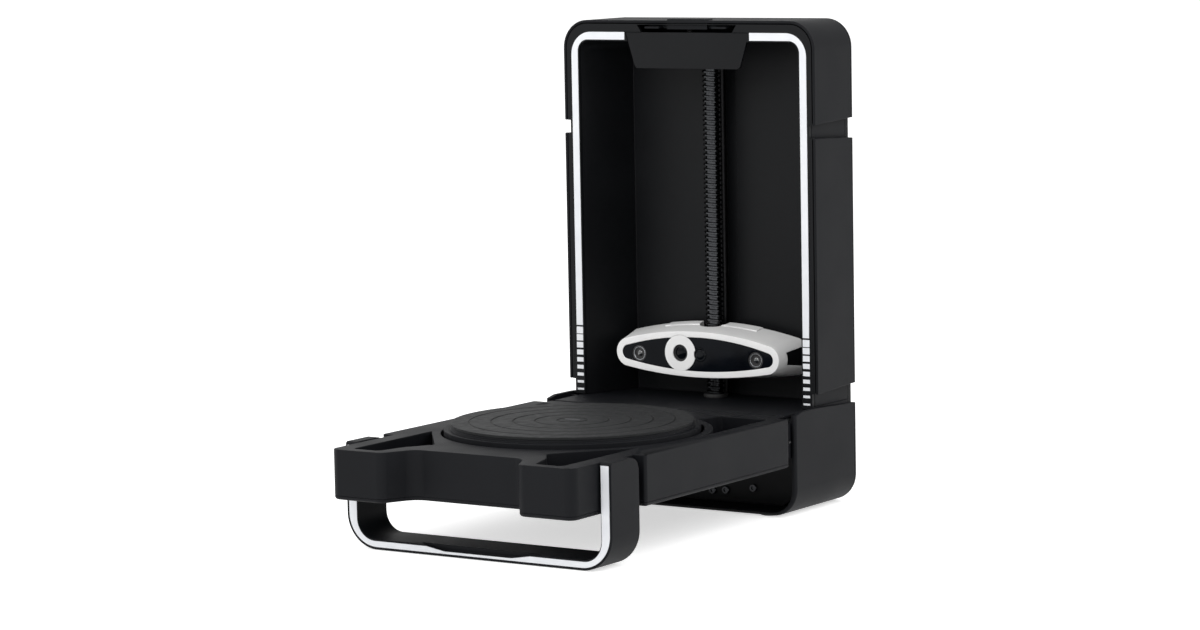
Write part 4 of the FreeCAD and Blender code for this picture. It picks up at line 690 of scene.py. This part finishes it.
# Outlines in millimetres from the middle of each front; each starts and ends on the axis, or is a ring that
# ends where it starts
laserSpots = [(49.2, 7.9, 103.8), (-49.2, 7.9, 103.8)]
cameraSpots = [(-14, 8.1, 105.9)]
knobSpots = [(2.8, 7.6, 105.4)]
turnedParts = {
    "laserBarrels": {"node": "laser_lenses", "finish": nylon, "spots": laserSpots, "outline": [
        (0, 1.6), (6, 1.6), (6, 0.15), (5.85, 0), (5.1, 0), (5, 0.1), (5, 0.5), (4.3, 0.5), (4.2, 0.6),
        (4.2, 0.9), (3.5, 0.9), (3.4, 1), (3.4, 1.2), (0, 1.2)]},
    "laserRims": {"node": "laser_lenses", "finish": steel, "spots": laserSpots, "outline": [
        (4.7, 0.75), (4.85, 0.75), (4.95, 0.5), (4.85, 0.3), (4.65, 0.25), (4.45, 0.32), (4.35, 0.5),
        (4.45, 0.7), (4.7, 0.75)]},
    "laserGlasses": {"node": "laser_lenses", "finish": bareGlass, "spots": laserSpots, "outline": [
        (0, 1.25), (2.2, 1.25), (2.2, 1.05), (2, 0.8), (1.6, 0.6), (1.1, 0.47), (0.6, 0.4), (0, 0.38)]},
    "cameraBarrel": {"node": "camera_barrel", "finish": nylon, "spots": cameraSpots, "outline": [
        (0, 6.4), (6.1, 6.4), (6.1, 0.1), (6, 0), (5.6, 0), (5.5, 0.1), (5.5, 0.4), (5.1, 0.4), (5, 0.5),
        (5, 0.75), (4.62, 0.75), (4.62, 2.7), (0, 2.7)]},
    "cameraLens": {"node": "camera_lens", "finish": glass, "spots": cameraSpots, "outline": [
        (0, 2.6), (4.6, 2.6), (4.6, 1.3), (4.2, 1.06), (3.5, 0.86), (2.6, 0.68), (1.6, 0.56), (0.8, 0.51),
        (0, 0.5)]},
    "sensorKnob": {"node": "sensor_knob", "finish": glass, "spots": knobSpots, "outline": [
        (0, 6.9), (5.1, 6.9), (5.1, 0.35), (5, 0.12), (4.7, 0), (4.4, 0.02), (4.2, 0.2), (3.6, 0.24),
        (3.4, 0.1), (2.4, 0.06), (1.2, 0.04), (0, 0.04)]},
}
hidden = set()
for name, part in turnedParts.items():
    made = turned(part["spots"], part["outline"])
    settle(name, made, part["finish"], part["node"], hides=part["node"] not in hidden)
    hidden.add(part["node"])
print("turned parts:", len(turnedParts))


# Floor, lamps and sky

studio = {
    "floorSize": 30, "floorColour": "#f2f2f2", "floorLift": 0.6, "skyLight": 0.62,
    # each lamp: place in metres, size in metres, power in watts
    "lamps": [((2.4, 0.2, 2.1), 1.8, 44), ((-1.9, -1.7, 1.9), 2.2, 26), ((0.4, -2.9, 1.8), 1.8, 42)],
    "aimHeight": 0.15,
}


def seen(tree):
    # 1 for rays that show a surface straight, mirrored or through glass, and 0 for those that light it.
    rays = addNode(tree, "ShaderNodeLightPath").outputs
    straight = maths(tree, "MAXIMUM", rays["Is Camera Ray"], rays["Is Glossy Ray"])
    return maths(tree, "MAXIMUM", straight, rays["Is Transmission Ray"])


def makeFloor():
    # Where it is seen, the floor is lifted to white, and it keeps the shadows.
    material, tree, shader = newMaterial("white paper sweep")
    for name, value in {"Base Color": linear(studio["floorColour"]), "Roughness": 0.9,
                        "Specular IOR Level": 0.1}.items():
        shader.inputs[name].default_value = value
    lift = maths(tree, "*", seen(tree), studio["floorLift"])
    glow = addNode(tree, "ShaderNodeEmission", {"Color": (1, 1, 1, 1), "Strength": lift})
    both = addNode(tree, "ShaderNodeAddShader", {0: shader.outputs[0], 1: glow.outputs[0]})
    output = [node for node in tree.nodes if node.type == "OUTPUT_MATERIAL"][0]
    tree.links.new(both.outputs[0], output.inputs["Surface"])
    half = studio["floorSize"] / 2
    corners = [(-half, -half, 0), (half, -half, 0), (half, half, 0), (-half, half, 0)]
    mesh = bpy.data.meshes.new("floor")
    mesh.from_pydata(corners, [], [(0, 1, 2, 3)])
    mesh.materials.append(material)
    floor = bpy.data.objects.new("floor", mesh)
    bpy.context.scene.collection.objects.link(floor)


def makeLamps():
    aim = Vector((0, 0, studio["aimHeight"]))
    for count, (spot, size, power) in enumerate(studio["lamps"]):
        name = "softbox%d" % count
        data = bpy.data.lights.new(name, "AREA")
        data.size = size
        data.energy = power
        lamp = bpy.data.objects.new(name, data)
        lamp.location = spot
        lamp.rotation_mode = "QUATERNION"
        lamp.rotation_quaternion = (Vector(spot) - aim).to_track_quat("Z", "Y")
        bpy.context.scene.collection.objects.link(lamp)


def makeSky():
    # White where it is seen, and dimmer where it lights the object.
    world = bpy.data.worlds.new("studio")
    bpy.context.scene.world = world
    world.use_nodes = True
    tree = world.node_tree
    tree.nodes.clear()
    strength = addNode(tree, "ShaderNodeMapRange", {0: seen(tree), 3: studio["skyLight"], 4: 1}).outputs[0]
    sky = addNode(tree, "ShaderNodeBackground", {"Color": (1, 1, 1, 1), "Strength": strength}).outputs[0]
    addNode(tree, "ShaderNodeOutputWorld", {"Surface": sky})


makeFloor()
makeLamps()
makeSky()
print("studio: floor, %d lamps and sky" % len(studio["lamps"]))
